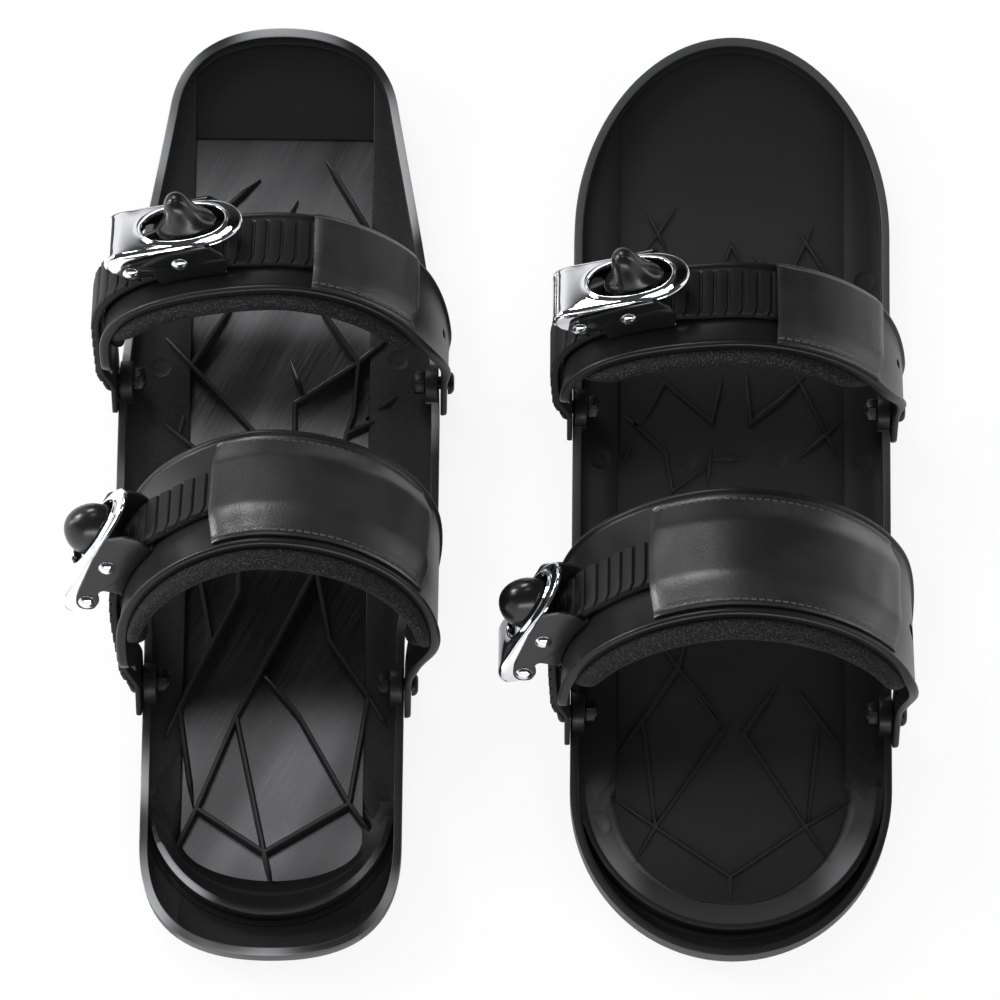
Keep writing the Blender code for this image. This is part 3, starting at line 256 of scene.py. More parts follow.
def resample(points, count):
    # the same run of points at even distances
    lengths = [0.0]
    for before, after in zip(points, points[1:]):
        lengths.append(lengths[-1] + (after - before).length)
    made, index = [], 0
    for step in range(count):
        goal = lengths[-1] * step / (count - 1)
        while index < len(points) - 2 and lengths[index + 1] < goal:
            index += 1
        span = max(lengths[index + 1] - lengths[index], 1e-12)
        made.append(points[index].lerp(points[index + 1], min((goal - lengths[index]) / span, 1.0)))
    return made


camera = {"focus": (0.00536, 0.0010, 0.0), "elevation": 75.0, "roll": 0.63, "distance": 3.0,
          "sensor": 36.0, "viewWidth": 0.46, "clip": 50.0}
room = {"wall": (1.0, 1.0, 1.0), "fill": 0.6, "walls": [(0.0, 0.95), (0.18, 0.95), (0.46, 0.05)],
        "toeward": (0.5, 0.85), "leftOut": (-0.42, -0.32), "toeShade": 0.94}
backdrop = {"size": 9.0, "drop": 0.4, "shade": 0.9, "cardShade": 0.05, "card": (0.28, 0.45), "glow": 0.86}
lamps = {
    "toeBox": {"at": (-0.72, 1.62, 1.39), "size": (0.7, 0.6), "power": 17.0},
    "heelBox": {"at": (0.1, -1.7, 0.75), "size": (1.8, 0.3), "power": 12.0},
    "leftHigh": {"at": (-1.65, 0.62, 1.0), "size": (0.4, 0.4), "power": 15.0},
    "leftLow": {"at": (-1.7, 0.1, 0.5), "size": (0.3, 1.6), "power": 9.0},
    "rightBox": {"at": (1.7, 0.2, 1.0), "size": (0.3, 1.4), "power": 6.0},
    "overhead": {"at": (-0.3, 0.62, 2.6), "size": (0.8, 0.65), "power": 3.6},
}


def makeCamera():
    data = bpy.data.cameras.new("camera")
    data.sensor_width = camera["sensor"]
    data.lens = camera["sensor"] * camera["distance"] / camera["viewWidth"]
    data.clip_end = camera["clip"]
    obj = bpy.data.objects.new("camera", data)
    bpy.context.scene.collection.objects.link(obj)
    lift = math.radians(camera["elevation"])
    back = Vector((0.0, -math.cos(lift), math.sin(lift)))
    roll = Matrix.Rotation(math.radians(camera["roll"]), 3, "Z")
    turn = (back.to_track_quat("Z", "Y").to_matrix() @ roll).to_4x4()
    obj.matrix_world = Matrix.Translation(Vector(camera["focus"]) + back * camera["distance"]) @ turn
    bpy.context.scene.camera = obj


def makeRoom():
    world = bpy.data.worlds.new("studio")
    bpy.context.scene.world = world
    sky = Nodes(world)
    way = sky.node("ShaderNodeTexCoord", output="Generated")
    toeward = sky.axis("Y", way).smooth(*room["toeward"]) * sky.axis("X", way).smooth(*room["leftOut"])
    # what gloss mirrors: pale walls under a dim ceiling, and a dark wall past the toes
    mirrored = sky.node("ShaderNodeValToRGB", {"stops": room["walls"]}, {0: sky.axis("Z", way)})
    mirrored = sky.blend(toeward * room["toeShade"], mirrored, (0.0, 0.0, 0.0))
    rays = {kind: sky.node("ShaderNodeLightPath", output="Is %s Ray" % kind)
            for kind in ("Camera", "Glossy", "Transmission")}
    lit = sky.blend(rays["Glossy"], (room["fill"],) * 3, mirrored)
    seen = rays["Camera"].math("MAXIMUM", rays["Transmission"])
    sky.feed(sky.tree.nodes["Background"].inputs["Color"], sky.blend(seen, lit, room["wall"]))
    for name, lamp in lamps.items():
        data = bpy.data.lights.new(name, "AREA")
        data.shape = "RECTANGLE"
        data.size, data.size_y = lamp["size"]
        data.energy = lamp["power"]
        obj = bpy.data.objects.new(name, data)
        bpy.context.scene.collection.objects.link(obj)
        obj.location = lamp["at"]
        obj.rotation_euler = Vector(lamp["at"]).to_track_quat("Z", "Y").to_euler()


def makeFloor():
    # white to the camera, with some of its shading left for the shadow; the dark wall past the toes
    # goes on over the floor as a card that only gloss mirrors
    look = Look("paleFloor", Roughness=0.9, Specular_IOR_Level=0.0)
    card = look.axis("Y").smooth(*backdrop["card"])
    look.set(Base_Color=look.blend(card, (backdrop["shade"],) * 3, (backdrop["cardShade"],) * 3))
    white = look.node("ShaderNodeEmission", {}, {"Color": room["wall"]})
    glow = card * (1.0 - backdrop["glow"]) + backdrop["glow"]
    seen = look.node("ShaderNodeLightPath", output="Is Camera Ray") * glow
    shaded = Wire(look, look.shader.outputs["BSDF"])
    mixed = look.node("ShaderNodeMixShader", {}, {0: seen, 1: shaded, 2: white})
    look.feed(look.output.inputs["Surface"], mixed)
    bm = bmesh.new()
    bmesh.ops.create_grid(bm, x_segments=1, y_segments=1, size=backdrop["size"] / 2)
    floor = finishPiece("floor", bm, Matrix.Translation((0, 0, -backdrop["drop"] * mm)), look)


bpy.context.scene.view_settings.view_transform = "Standard"
makeCamera()
makeRoom()
makeFloor()
print("room, lights and camera made")


# The decks. Sizes are in millimetres from each board's middle, as in the solid model.
boards = {
    "left": {"length": 434.6, "ribTop": 8.5, "floorHalf": 41.4, "floorFront": 46.3, "floorRear": 37.4,
             "frontRound": 6.0, "rearRound": 20.0, "cupFront": 74.3, "footHalf": 41.4, "lipHalf": 53.5,
             "lipRear": 21.8, "lipRound": 52.0, "climb": 0.16, "open": True,
             "stations": {"toe": 51.9, "ankle": -90.6}},
    "right": {"length": 430.3, "ribTop": 5.8, "floorHalf": 52.2, "floorFront": 19.2, "floorRear": 26.5,
              "frontRound": 60.0, "rearRound": 52.0, "cupFront": 81.2, "footHalf": 57.0, "lipHalf": 66.5,
              "lipRear": 15.2, "lipRound": 66.0, "climb": 0.3, "open": False,
              "stations": {"toe": 41.1, "ankle": -102.2}},
}
outerShapes = {
    "left": {"toeHalf": 52.5, "waistHalf": 73.8, "heelHalf": 59.2, "tailCorner": 53.3, "toeCorner": 33.3,
             "flare": 0.19, "waistFront": 36.0, "waistBack": -21.0, "heelFront": -68.0},
    "right": {"half": 72.9, "toeRound": 90.0, "tailRound": 78.6},
}
deck = {"rimWidth": 3.7, "rimHeight": 14.0, "ledge": 6.5, "floor": 4.0, "tailFloor": 5.0, "panDip": 1.6,
        "toeRise": 20.0, "tailRise": 8.0, "toeBend": 112.0, "tailBend": 67.0, "stepLength": 1.0, "plate": 1.2,
        "plateOverlap": 5.0, "panEdge": 1.0, "gap": 0.3, "points": 131, "merge": 0.001,
        "rounds": ((0, 1.0), (1, 0.55), (2, 0.45), (3, 1.4), (6, 0.7), (7, 0.5))}
ribs = {
    "left": [
        [(-46, 121), (-23, 141), (-12, 151)], [(-21, 98), (0, 128), (6, 141)], [(20, 160), (46, 118)],
        [(-56, 78), (-41, 62), (-12, 31), (-17, 0)], [(-41, 62), (-26, 86), (-21, 98), (-46, 121)],
        [(0, 128), (21, 86), (36, 64)], [(54, 80), (36, 64), (7, 44), (7, 29), (18, -34)],
        [(5, 64), (11, 47)], [(36, 64), (34, 39), (31, 30), (18, -34)], [(58, 51), (41, 39)],
        [(-57, 37), (-31, 16), (-17, 0), (-17, -46)], [(-46, 29), (-44, 38)], [(48, 38), (31, 30)],
        [(18, -34), (-17, -104), (-34, -147), (-44, -168)], [(18, -34), (25, -68), (43, -94), (54, -112)],
        [(-17, -104), (-3, -167), (1, -184)], [(-34, -147), (-3, -167)],
        [(-6, -83), (12, -104), (35, -144), (47, -160)],
        [(-17, -46), (-44, -101)], [(-45, -16), (-35, -39), (-29, -70), (-43, -100)],
        [(-43, -100), (-36, -144)], [(-43, -100), (-51, -120)], [(35, -144), (-3, -167)],
        [(25, -68), (18, -34), (-17, 0)], [(35, -144), (43, -94)],
    ],
    "right": [
        [(-40, 140), (-29, 118)], [(-26, 140), (-39, 121)], [(30, 132), (51, 98)], [(38, 132), (26, 107)],
        [(-5, 110), (0, 123), (7, 110)], [(9, 119), (22, 108)], [(-41, 37), (-31, 57), (-9, 38), (-4, 60)],
        [(7, 62), (9, 38), (23, 49), (34, 60)], [(-50, 41), (-45, 37), (-30, 23), (-27, 5), (-10, 17)],
        [(30, 61), (49, 22)], [(50, 38), (31, 21)], [(-45, 28), (-51, 16)], [(-9, 28), (-11, 6)],
        [(-9, 20), (7, 21)], [(-34, -65), (-24, -79), (-40, -103), (-51, -119)],
        [(-20, -65), (-24, -79), (-4, -103)], [(-40, -103), (-34, -153)],
        [(0, -103), (-34, -153), (-43, -169)], [(-53, -140), (-34, -153), (0, -176), (0, -187)],
        [(-19, -87), (-3, -108)], [(21, -87), (6, -109), (34, -152), (44, -167)],
        [(54, -140), (34, -152), (0, -176)], [(40, -105), (35, -152)], [(29, -87), (51, -116)],
    ],
}
mouldMarks = {   # round ejector marks, on the ledges and on the floor
    "left": {"ledge": [(54.4, 65.6), (-55.0, 60.9), (-53.0, 99.0)], "floor": []},
    "right": {"ledge": [(61.7, 105.8), (60.6, 19.7), (-59.9, 19.2), (-59.8, -152.7), (61.1, -154.6),
                        (60.8, -115.6)],
              "floor": [(-20.4, 19.8), (21.5, 21.3), (-15.6, 109.8), (-21.1, -113.5), (19.9, -113.5)]},
}


def roundOutline(half, toe, tail, toeRound, tailRound):
    front, back = xy(half, toe - toeRound), xy(half, tail + tailRound)
    return bezierPath([
        (xy(0, toe), None, xy(half * quarterArc, toe)),
        (front, front + xy(0, toeRound * quarterArc), front),
        (back, back, back - xy(0, tailRound * quarterArc)),
        (xy(0, tail), xy(half * quarterArc, tail), None)], 40)


def leftOutline():
    shape, tip = outerShapes["left"], boards["left"]["length"] / 2
    heelHalf, tailCorner, toeCorner = shape["heelHalf"], shape["tailCorner"], shape["toeCorner"]
    flare = xy(shape["flare"], -1.0).normalized()
    corner, front = xy(shape["toeHalf"], tip - toeCorner), xy(shape["waistHalf"], shape["waistFront"])
    back, heel = xy(shape["waistHalf"], shape["waistBack"]), xy(heelHalf, shape["heelFront"])
    tail = xy(heelHalf, tailCorner - tip)
    flank, bay = corner.y - front.y, back.y - heel.y
    return bezierPath([
        (xy(0, tip), None, xy(corner.x * 0.65, tip)),
        (corner, corner - flare * toeCorner * 0.55, corner + flare * flank * 0.4),
        (front, front + xy(0, flank * 0.3), front),
        (back, back, back - xy(0, bay * 0.5)),
        (heel, heel + xy(0, bay * 0.5), heel),
        (tail, tail, tail - xy(0, tailCorner * 0.72)),
        (xy(0, -tip), xy(heelHalf * 0.64, -tip), None)], 40)


def rightOutline():
    shape, tip = outerShapes["right"], boards["right"]["length"] / 2
    return roundOutline(shape["half"], tip, -tip, shape["toeRound"], shape["tailRound"])


def inset(outline, distance):
    moved = []
    for index, point in enumerate(outline):
        along = (outline[min(index + 1, len(outline) - 1)] - outline[max(index - 1, 0)]).normalized()
        inward = xy(along.y, -along.x)
        if index in (0, len(outline) - 1):
            inward = xy(0, -1 if index == 0 else 1)
        moved.append(point + inward * distance)
    return moved


def widthAt(outline, place):
    for upper, lower in zip(outline, outline[1:]):
        if lower.y <= place <= upper.y:
            return lerp(upper.x, lower.x, (upper.y - place) / max(upper.y - lower.y, 1e-9))
    return 0.0


def rise(place, length):
    toe = max(place - length / 2 + deck["toeBend"], 0.0) / deck["toeBend"]
    tail = max(deck["tailBend"] - length / 2 - place, 0.0) / deck["tailBend"]
    return deck["toeRise"] * toe ** 2 + deck["tailRise"] * tail ** 2


def ringFrom(half, height, squeeze=1.0):
    # both sides of a half outline: height is a number or follows the place along the board
    level = height if callable(height) else lambda place: height
    right = [Vector((p.x * squeeze, p.y, level(p.y))) for p in half]
    return right + [Vector((-p.x, p.y, p.z)) for p in right[-2:0:-1]]


def between(first, second, shares):
    # rings on the way from the first to the second
    return [[a.lerp(b, share) for a, b in zip(first, second)] for share in shares]


def floorOutline(sizes, margin):
    half = sizes["length"] / 2
    toe, tail = half - sizes["floorFront"] + margin, sizes["floorRear"] - half - margin
    return roundOutline(sizes["floorHalf"] + margin, toe, tail, sizes["frontRound"] + margin,
                        sizes["rearRound"] + margin)


def bendUp(bm, length):
    # each point keeps its height from before the bend, for the material
    level = bm.verts.layers.float.new("level")
    for vertex in bm.verts:
        vertex[level] = vertex.co.z * mm
        vertex.co.z += rise(vertex.co.y, length)


def placed(x, y=0.0, z=0.0):
    # from millimetres about a board's middle to the scene
    return Matrix.Translation((x, y, z)) @ Matrix.Scale(mm, 4)


def sunkenOutline(sizes, outer):
    # the sunken floor: at the toe it fills the rim, no wider than further back
    near = inset(outer, deck["rimWidth"] + deck["panEdge"])
    toe = [xy(min(p.x, sizes["floorHalf"]), p.y) for p in near if p.y > 0]
    heel = [p for p in floorOutline(sizes, 0.0) if p.y < 0]
    start = xy(sizes["floorHalf"], toe[-1].y - (toe[-2].y - toe[-1].y))
    return toe + resample([start] + heel, len(outer) - len(toe))


def addTray(bm, sizes, outer):
    inner = inset(outer, deck["rimWidth"])
    cupFront = sizes["cupFront"] - sizes["length"] / 2
    floor = sunkenOutline(sizes, outer)

    def stepped(heel, toe):
        # one height in the heel's trough and another ahead of it
        return lambda place: lerp(heel, toe, smoothStep(place, cupFront - deck["stepLength"],
                                                        cupFront + deck["stepLength"]))
    foot = ringFrom(inner, stepped(deck["tailFloor"], deck["ledge"]))
    edge = ringFrom(floor, stepped(deck["floor"] - deck["panDip"] / 2, deck["ledge"]))
    wall = [ringFrom(outer, 0.0), ringFrom(outer, deck["rimHeight"]), ringFrom(inner, deck["rimHeight"])]
    wall += between(foot, edge, (0.0, 0.3, 0.6, 1.0))
    if sizes["open"]:
        # the frame of the left deck, with a recess for the steel plate under it
        pan, recess = stepped(deck["floor"] - deck["panDip"], deck["floor"]), deck["plate"] + deck["gap"]
        toeEnd = sizes["length"] / 2 - sizes["floorFront"]
        hole = [xy(max(p.x - deck["gap"], 0.0), min(p.y, toeEnd)) for p in floor]
        hole[0].x = 0.0
        under = resample(floorOutline(sizes, deck["plateOverlap"] + deck["gap"]), deck["points"])
        rings = [ringFrom(under, 0.0)] + wall + [ringFrom(floor, pan), ringFrom(hole, pan),
                                                 ringFrom(hole, recess), ringFrom(under, recess)]
        first = 1
    else:
        rings = [ringFrom(outer, 0.0, squeeze) for squeeze in (0.0, 0.5)] + wall
        rings += [ringFrom(floor, deck["floor"], squeeze) for squeeze in (1.0, 0.75, 0.5, 0.25, 0.0)]
        first = 2
    loops = addLoft(bm, rings, caps=False, closed=sizes["open"])
    for step, radius in deck["rounds"]:
        roundEdges(bm, ringEdges(bm, loops[first + step]), radius)
    bmesh.ops.remove_doubles(bm, verts=bm.verts, dist=deck["merge"])


heelRing = {"top": 2.5, "under": 0.1, "root": 2.0, "slant": 0.5, "round": 0.5, "points": 61,
            "back": ((0.4, 3.0), (1.4, 1.0), (3.6, 0.1), (3.6, -1.0))}


def cupPath(half, front, rear, depth):
    # the heel ring's line, from its front end on one side round the tail to that on the other
    back = xy(half, rear + depth)
    side = bezierPath([(xy(half, front), None, xy(half, front)),
                       (back, back, back - xy(0, depth * quarterArc)),
                       (xy(0, rear), xy(half * quarterArc, rear), None)], 40)
    side = resample(side, heelRing["points"])
    return side + [xy(-p.x, p.y) for p in side[-2::-1]]


def addHeelRing(bm, sizes, outer):
    half = sizes["length"] / 2
    front, rear, lipRear = sizes["cupFront"] - half, sizes["floorRear"] - half, sizes["lipRear"] - half
    foot = cupPath(sizes["footHalf"], front, rear, sizes["rearRound"])
    lip = cupPath(sizes["lipHalf"], front + heelRing["slant"], lipRear, sizes["lipRound"])
    start, top = deck["ledge"] + heelRing["under"], deck["rimHeight"] - heelRing["under"]
    width = heelRing["top"]
    back = [(width + out, deck["tailFloor"] + up) for out, up in heelRing["back"]]
    sections = []
    for index, (inside, edge) in enumerate(zip(foot, lip)):
        along = (lip[min(index + 1, len(lip) - 1)] - lip[max(index - 1, 0)]).normalized()
        away = xy(-along.y, along.x)
        if abs(edge.x) <= 1:
            away = xy(0, -1)
        elif away.dot(edge) < 0:
            away = -away
        fromEnd = min(index, len(foot) - 1 - index) / len(foot)
        crest = lerp(start, top, smoothStep(fromEnd, 0.0, sizes["climb"]))
        spots = [(inside, deck["floor"] - heelRing["root"]), (inside, deck["floor"])]
        spots += [(edge + away * out, height) for out, height in [(0.0, crest), (width, crest)] + back]
        sections.append([Vector((p.x, p.y, z)) for p, z in spots])
    for ring in sections:   # keep it inside the outer wall
        for point in ring:
            reach = widthAt(outer, point.y) - deck["rimWidth"] / 2
            if reach > 0:
                point.x = min(max(point.x, -reach), reach)
            point.y = max(point.y, -half + deck["rimWidth"] / 2)
    loops = addLoft(bm, sections)
    for index in (1, 2, 3):
        rail = [bm.edges.get((a[index], b[index])) for a, b in zip(loops, loops[1:])]
        roundEdges(bm, rail, heelRing["round"])


rib = {"width": 2.3, "taper": 9.0, "overlap": 1.5, "tipHigh": 0.4, "tipWide": 0.25, "edge": 0.5,
       "apart": 0.01, "section": ((-1.25, 0), (-0.8, 1), (-0.45, 2), (0.45, 2), (0.8, 1), (1.25, 0))}


def addRib(bm, path, top, root, free):
    # a bar with drafted sides and a rounded top, which runs down to nothing at its free ends
    points = [xy(*p) for p in path]
    stations = []
    for index, point in enumerate(points):
        entering = (point - points[index - 1]).normalized() if index else None
        leaving = (points[index + 1] - point).normalized() if index < len(points) - 1 else None
        along = ((entering or leaving) + (leaving or entering)).normalized()
        spread = 1 / max(along.dot(leaving or entering), 0.5)
        stations.append((point, along, spread, 1.0))
    for end in (0, -1):
        point, along, spread, _ = stations[end]
        if free[end]:
            inward = along * (-1 if end else 1)
            stations[end] = (point - inward * rib["overlap"], along, spread, 0.0)
            stations.insert(1 if end == 0 else len(stations) - 1,
                            (point + inward * rib["taper"], along, spread, 1.0))
    sections = []
    for point, along, spread, fullness in stations:
        across = xy(-along.y, along.x) * spread
        height = lerp(root + rib["tipHigh"] * (top - root), top, fullness)
        girth = rib["width"] / 2 * lerp(rib["tipWide"], 1.0, fullness)
        levels = (root, height - rib["edge"], height)
        sections.append([point + across * girth * side + Vector((0, 0, levels[step]))
                         for side, step in rib["section"]])
    addLoft(bm, sections)


mark = {"radius": 5.2, "sides": 28,
        "rings": ((1.0, -0.3), (1.0, 0.06), (0.93, 0.1), (0.88, 0.02), (0.4, 0.02))}


def addMark(bm, x, y, level):
    # a shallow round mark with a fine raised edge
    addLoft(bm, [[Vector((x + mark["radius"] * size * math.cos(t), y + mark["radius"] * size * math.sin(t),
                          level + height)) for t in turns(mark["sides"])] for size, height in mark["rings"]])


lug = {"length": 18.0, "inward": 2.3, "height": 24.0, "round": 0.6, "crownSteps": 14}


def addLug(bm, side, outerFace, station):
    innerFace = outerFace - deck["rimWidth"] - lug["inward"]
    half, count = lug["length"] / 2, lug["crownSteps"]
    crown = [(half * math.cos(t), lug["height"] - half + half * math.sin(t))
             for t in (math.pi * step / count for step in range(count + 1))]
    shape = [(half, deck["floor"])] + crown + [(-half, deck["floor"])]
    loops = addLoft(bm, [[Vector((side * face, station + y, z)) for y, z in shape]
                         for face in (innerFace, outerFace)])
    roundEdges(bm, ringEdges(bm, loops[0]) + ringEdges(bm, loops[1]), lug["round"])


def makeDeck(side, look):
    sizes = boards[side]
    outer = resample(outlines[side], deck["points"])
    bm = bmesh.new()
    addTray(bm, sizes, outer)
    addHeelRing(bm, sizes, outer)
    root = deck["plate"] + 0.1 if sizes["open"] else deck["floor"] - 1.0
    ends = [point for path in ribs[side] for point in path]
    for index, path in enumerate(ribs[side]):
        # crossing ribs end at slightly different heights, so that no two faces lie in one plane
        free = {end: ends.count(path[end]) == 1 for end in (0, -1)}
        addRib(bm, path, sizes["ribTop"] + rib["apart"] * (index % 5), root, free)
    for kind in ("ledge", "floor"):
        for x, y in mouldMarks[side][kind]:
            addMark(bm, x, y, deck[kind])
    for station in sizes["stations"].values():
        for way in (-1, 1):
            addLug(bm, way, widthAt(outer, station) - deck["gap"], station)
    bendUp(bm, sizes["length"])
    obj = finishPiece(side + "Deck", bm, placed(centres[side]), look)
    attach(obj, "boards")
    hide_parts(side + "_deck")


def makeSolePlate(look):
    half = resample(floorOutline(boards["left"], deck["plateOverlap"]), deck["points"])
    squeezes = (0.0, 0.25, 0.5, 0.75, 1.0)
    rings = [ringFrom(half, 0.0, squeeze) for squeeze in squeezes]
    rings += [ringFrom(half, deck["plate"], squeeze) for squeeze in reversed(squeezes)]
    bm = bmesh.new()
    addLoft(bm, rings, caps=False)
    bmesh.ops.remove_doubles(bm, verts=bm.verts, dist=deck["merge"])
    bendUp(bm, boards["left"]["length"])
    obj = finishPiece("leftSolePlate", bm, placed(centres["left"]), look)
    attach(obj, "boards")
    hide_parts("left_sole_plate")


def middleOf(node):
    low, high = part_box(node)
    return (low[0] + high[0]) / 2


outlines = {"left": leftOutline(), "right": rightOutline()}
centres = {side: middleOf(side + "_deck") for side in boards}


def plasticLook(name, shade, rough, grain=1500.0, depth=0.04, gloss=0.5):
    # moulded plastic: a fine grain, and a sheen that comes and goes
    look = Look(name, Specular_IOR_Level=gloss)
    fine, broad = look.noise(grain, 2.0, 0.6), look.noise(11.0, 2.0, 0.5)
    look.set(Base_Color=look.greys(broad.smooth(0.35, 0.65), (shade * 0.7, shade * 1.3)),
             Roughness=rough + (broad - 0.5) * 0.16, Normal=look.bump(fine, depth, 0.35))
    return look


levels = {"rim": (0.0134, 0.0150), "rib": (0.0081, 0.0090), "soft": 0.0003}   # before the bend, in metres


def levelMask(look, name):
    # 1 where a deck's own height, before its bend, lies in the named range
    level, (low, high), soft = look.attribute("level", 2), levels[name], levels["soft"]
    return level.smooth(low - soft, low) * (1.0 - level.smooth(high, high + soft))


grainy = {"ledge": (0.0405, 0.0420), "shades": (0.009, 0.0216), "rib": 0.016, "paintedRimShades": (0.014, 0.30)}


def grainyLook(name):
    # the left deck: grainy on its ledges and walls, smooth on its floor, with painted highlights in patches
    # on its rim and a faint painted sheen on the tops of its ribs
    look = Look(name, Specular_IOR_Level=0.3)
    ledge = (look.axis("X") - centres["left"]).math("ABSOLUTE").smooth(*grainy["ledge"])
    fine, broad = look.noise(900.0, 3.0, 0.7), look.noise(14.0, 2.0, 0.5)
    paintedRimPatches = look.noise(19.0, 1.0, 0.4).smooth(0.42, 0.66)
    shade = look.greys(ledge * fine.smooth(0.45, 0.75), grainy["shades"])
    # painted sheen: the tops of the ribs a little lighter than the deck around them
    shade = look.blend(levelMask(look, "rib"), shade, grey(grainy["rib"]))
    # painted highlight: light patches over the rim's top
    shade = look.blend(levelMask(look, "rim"), shade, look.greys(paintedRimPatches, grainy["paintedRimShades"]))
    look.set(Base_Color=shade, Roughness=0.30 + ledge * 0.12 + (broad - 0.5) * 0.2,
             Normal=look.bump(fine, 0.12, 0.2 + ledge * 0.7))
    return look


# where the right deck's painted highlights and painted reflection lie, and their shades
banded = {"middle": 0.134, "bandIn": (0.0535, 0.0560), "bandOut": (0.0655, 0.0665),
          "bandFront": (-0.150, -0.125), "flank": (0.034, 0.052), "cornerIn": (0.050, 0.056),
          "cornerFront": (-0.175, -0.150), "cornerBack": (-0.205, -0.180), "paintedRimSheenSpan": (-0.06, 0.05),
          "shades": (0.012, 0.008), "paintedRimShades": (0.010, 0.05), "paintedBandShades": (0.045, 0.16)}


def bandedLook(name):
    # the right deck: satin, with a painted highlight on the sloping band round its heel, brightest at its two
    # corners, a painted reflection that leaves the floor lighter in its middle than at its flanks, and a
    # painted sheen on its rim that grows towards the toe
    look = Look(name, Specular_IOR_Level=0.3)
    across, along = look.axis("X") - centres["right"], look.axis("Y")
    back = (along * -1.0 - banded["middle"]).math("MAXIMUM", 0.0)
    reach = (across * across + back * back) ** 0.5
    # painted highlight: a lighter band on the heel ring's slope
    paintedSheenBand = reach.smooth(*banded["bandIn"]) * (1.0 - reach.smooth(*banded["bandOut"]))
    paintedSheenBand = paintedSheenBand * (1.0 - along.smooth(*banded["bandFront"]))
    flank = across.math("ABSOLUTE").smooth(*banded["flank"])
    # painted highlight: lightest where the band meets the sides
    corner = reach.smooth(*banded["cornerIn"]) * flank * (1.0 - along.smooth(*banded["cornerFront"]))
    corner = corner * along.smooth(*banded["cornerBack"])
    fine, broad = look.noise(1500.0, 2.0, 0.6), look.noise(11.0, 2.0, 0.5)
    # painted sheen on the rim, lighter towards the toe
    rim = look.greys(along.smooth(*banded["paintedRimSheenSpan"]), banded["paintedRimShades"])
    # painted reflection: the floor lighter in its middle than at its flanks
    shade = look.blend(levelMask(look, "rim"), look.greys(flank, banded["shades"]), rim)
    shade = look.blend(paintedSheenBand, shade, look.greys(corner, banded["paintedBandShades"]))
    look.set(Base_Color=shade, Roughness=0.36 + (broad - 0.5) * 0.16 - paintedSheenBand * 0.06,
             Normal=look.bump(fine, 0.05, 0.4))
    return look


sheet = {"degrees": 62.0, "streaks": (1 / 22, 1 / 2200, 1.0), "patches": (1 / 6, 1 / 34, 1.0),
         "heel": (-0.07, 0.01), "toe": (0.075, 0.115), "shades": (0.04, 0.38)}


def steelLook(name):
    # brushed sheet: fine streaks one way over soft patches, with a painted reflection that makes it lighter
    # in the middle of the board
    look = Look(name, Metallic=1.0)
    streaks = look.noise(1.0, 4.0, 0.75, source=look.stretched(sheet["degrees"], sheet["streaks"]))
    patches = look.noise(1.0, 1.5, 0.5, source=look.stretched(sheet["degrees"], sheet["patches"]))
    along = look.axis("Y")
    # painted reflection: lighter in the middle of the board, darker towards the heel and the toe
    middle = along.smooth(*sheet["heel"]) * (1.0 - along.smooth(*sheet["toe"]))
    share = patches.smooth(0.36, 0.68) * 0.35 + streaks.smooth(0.4, 0.8) * 0.45 + 0.2
    look.set(Base_Color=look.greys(share * (middle * 0.35 + 0.55), sheet["shades"]),
             Roughness=0.30 + (streaks - 0.5) * 0.25, Normal=look.bump(streaks, 0.03, 0.5))
    return look


makeDeck("left", grainyLook("grainyBlack"))
makeDeck("right", bandedLook("satinBlack"))
makeSolePlate(steelLook("brushedSteel"))
print("decks made")


# The straps. Each hangs in its own frame: x across the board, y along it towards the toe, z up the
# strap's lean. Layers are given by their place along the strap's path and their height off it.
# A bulge is how far out and how high up a strap stands furthest from its bolt; its pad strap and
# liner reach so far towards the heel and the toe; its buckle and the ends of its cover lie at a share
# of its half width, to the left if negative.
straps = {
    ("left", "toe"): {"lean": 24.0, "height": 91.0, "leftBulge": (1.1, 50.0), "rightBulge": (0.7, 16.0),
                      "square": 0.86, "pad": (26.0, 19.5), "liner": (32.0, 15.0),
                      "buckle": -0.50, "cover": (0.21, 0.775)},
    ("left", "ankle"): {"lean": 32.0, "height": 118.0, "leftBulge": (3.9, 58.0), "rightBulge": (12.4, 60.0),
                        "square": 0.58, "pad": (36.0, 37.0), "liner": (45.0, 35.0),
                        "buckle": -0.92, "cover": (-0.355, 0.89)},
    ("right", "toe"): {"lean": 22.0, "height": 79.0, "leftBulge": (2.0, 40.0), "rightBulge": (1.3, 16.0),
                       "square": 0.86, "pad": (28.0, 19.5), "liner": (34.0, 16.0),
                       "buckle": -0.59, "cover": (0.215, 0.805)},
    ("right", "ankle"): {"lean": 28.0, "height": 104.0, "leftBulge": (1.8, 45.0), "rightBulge": (3.8, 45.0),
                         "square": 0.62, "pad": (36.0, 39.0), "liner": (45.0, 37.0),
                         "buckle": -0.965, "cover": (-0.48, 0.857)},
}
layers = {"gap": 0.3, "pad": 3.0, "rail": 1.4, "railWidth": 2.2, "tailHalf": 10.0, "tail": 14.8,
          "tailRadius": 15.5, "ladderHalf": 13.0, "ladder": 2.4, "tooth": 1.6, "pitch": 6.0, "footHalf": 24.0}
bolt = {"height": 17.0, "radius": 3.0, "head": 5.3, "headHeight": 3.0, "tip": 1.0, "around": 36,
        "socket": 0.36, "nutFlats": 10.0, "nut": 5.0, "nutFace": 0.3, "nutEdge": 0.7, "nutDraft": 0.985,
        "sharp": 32}
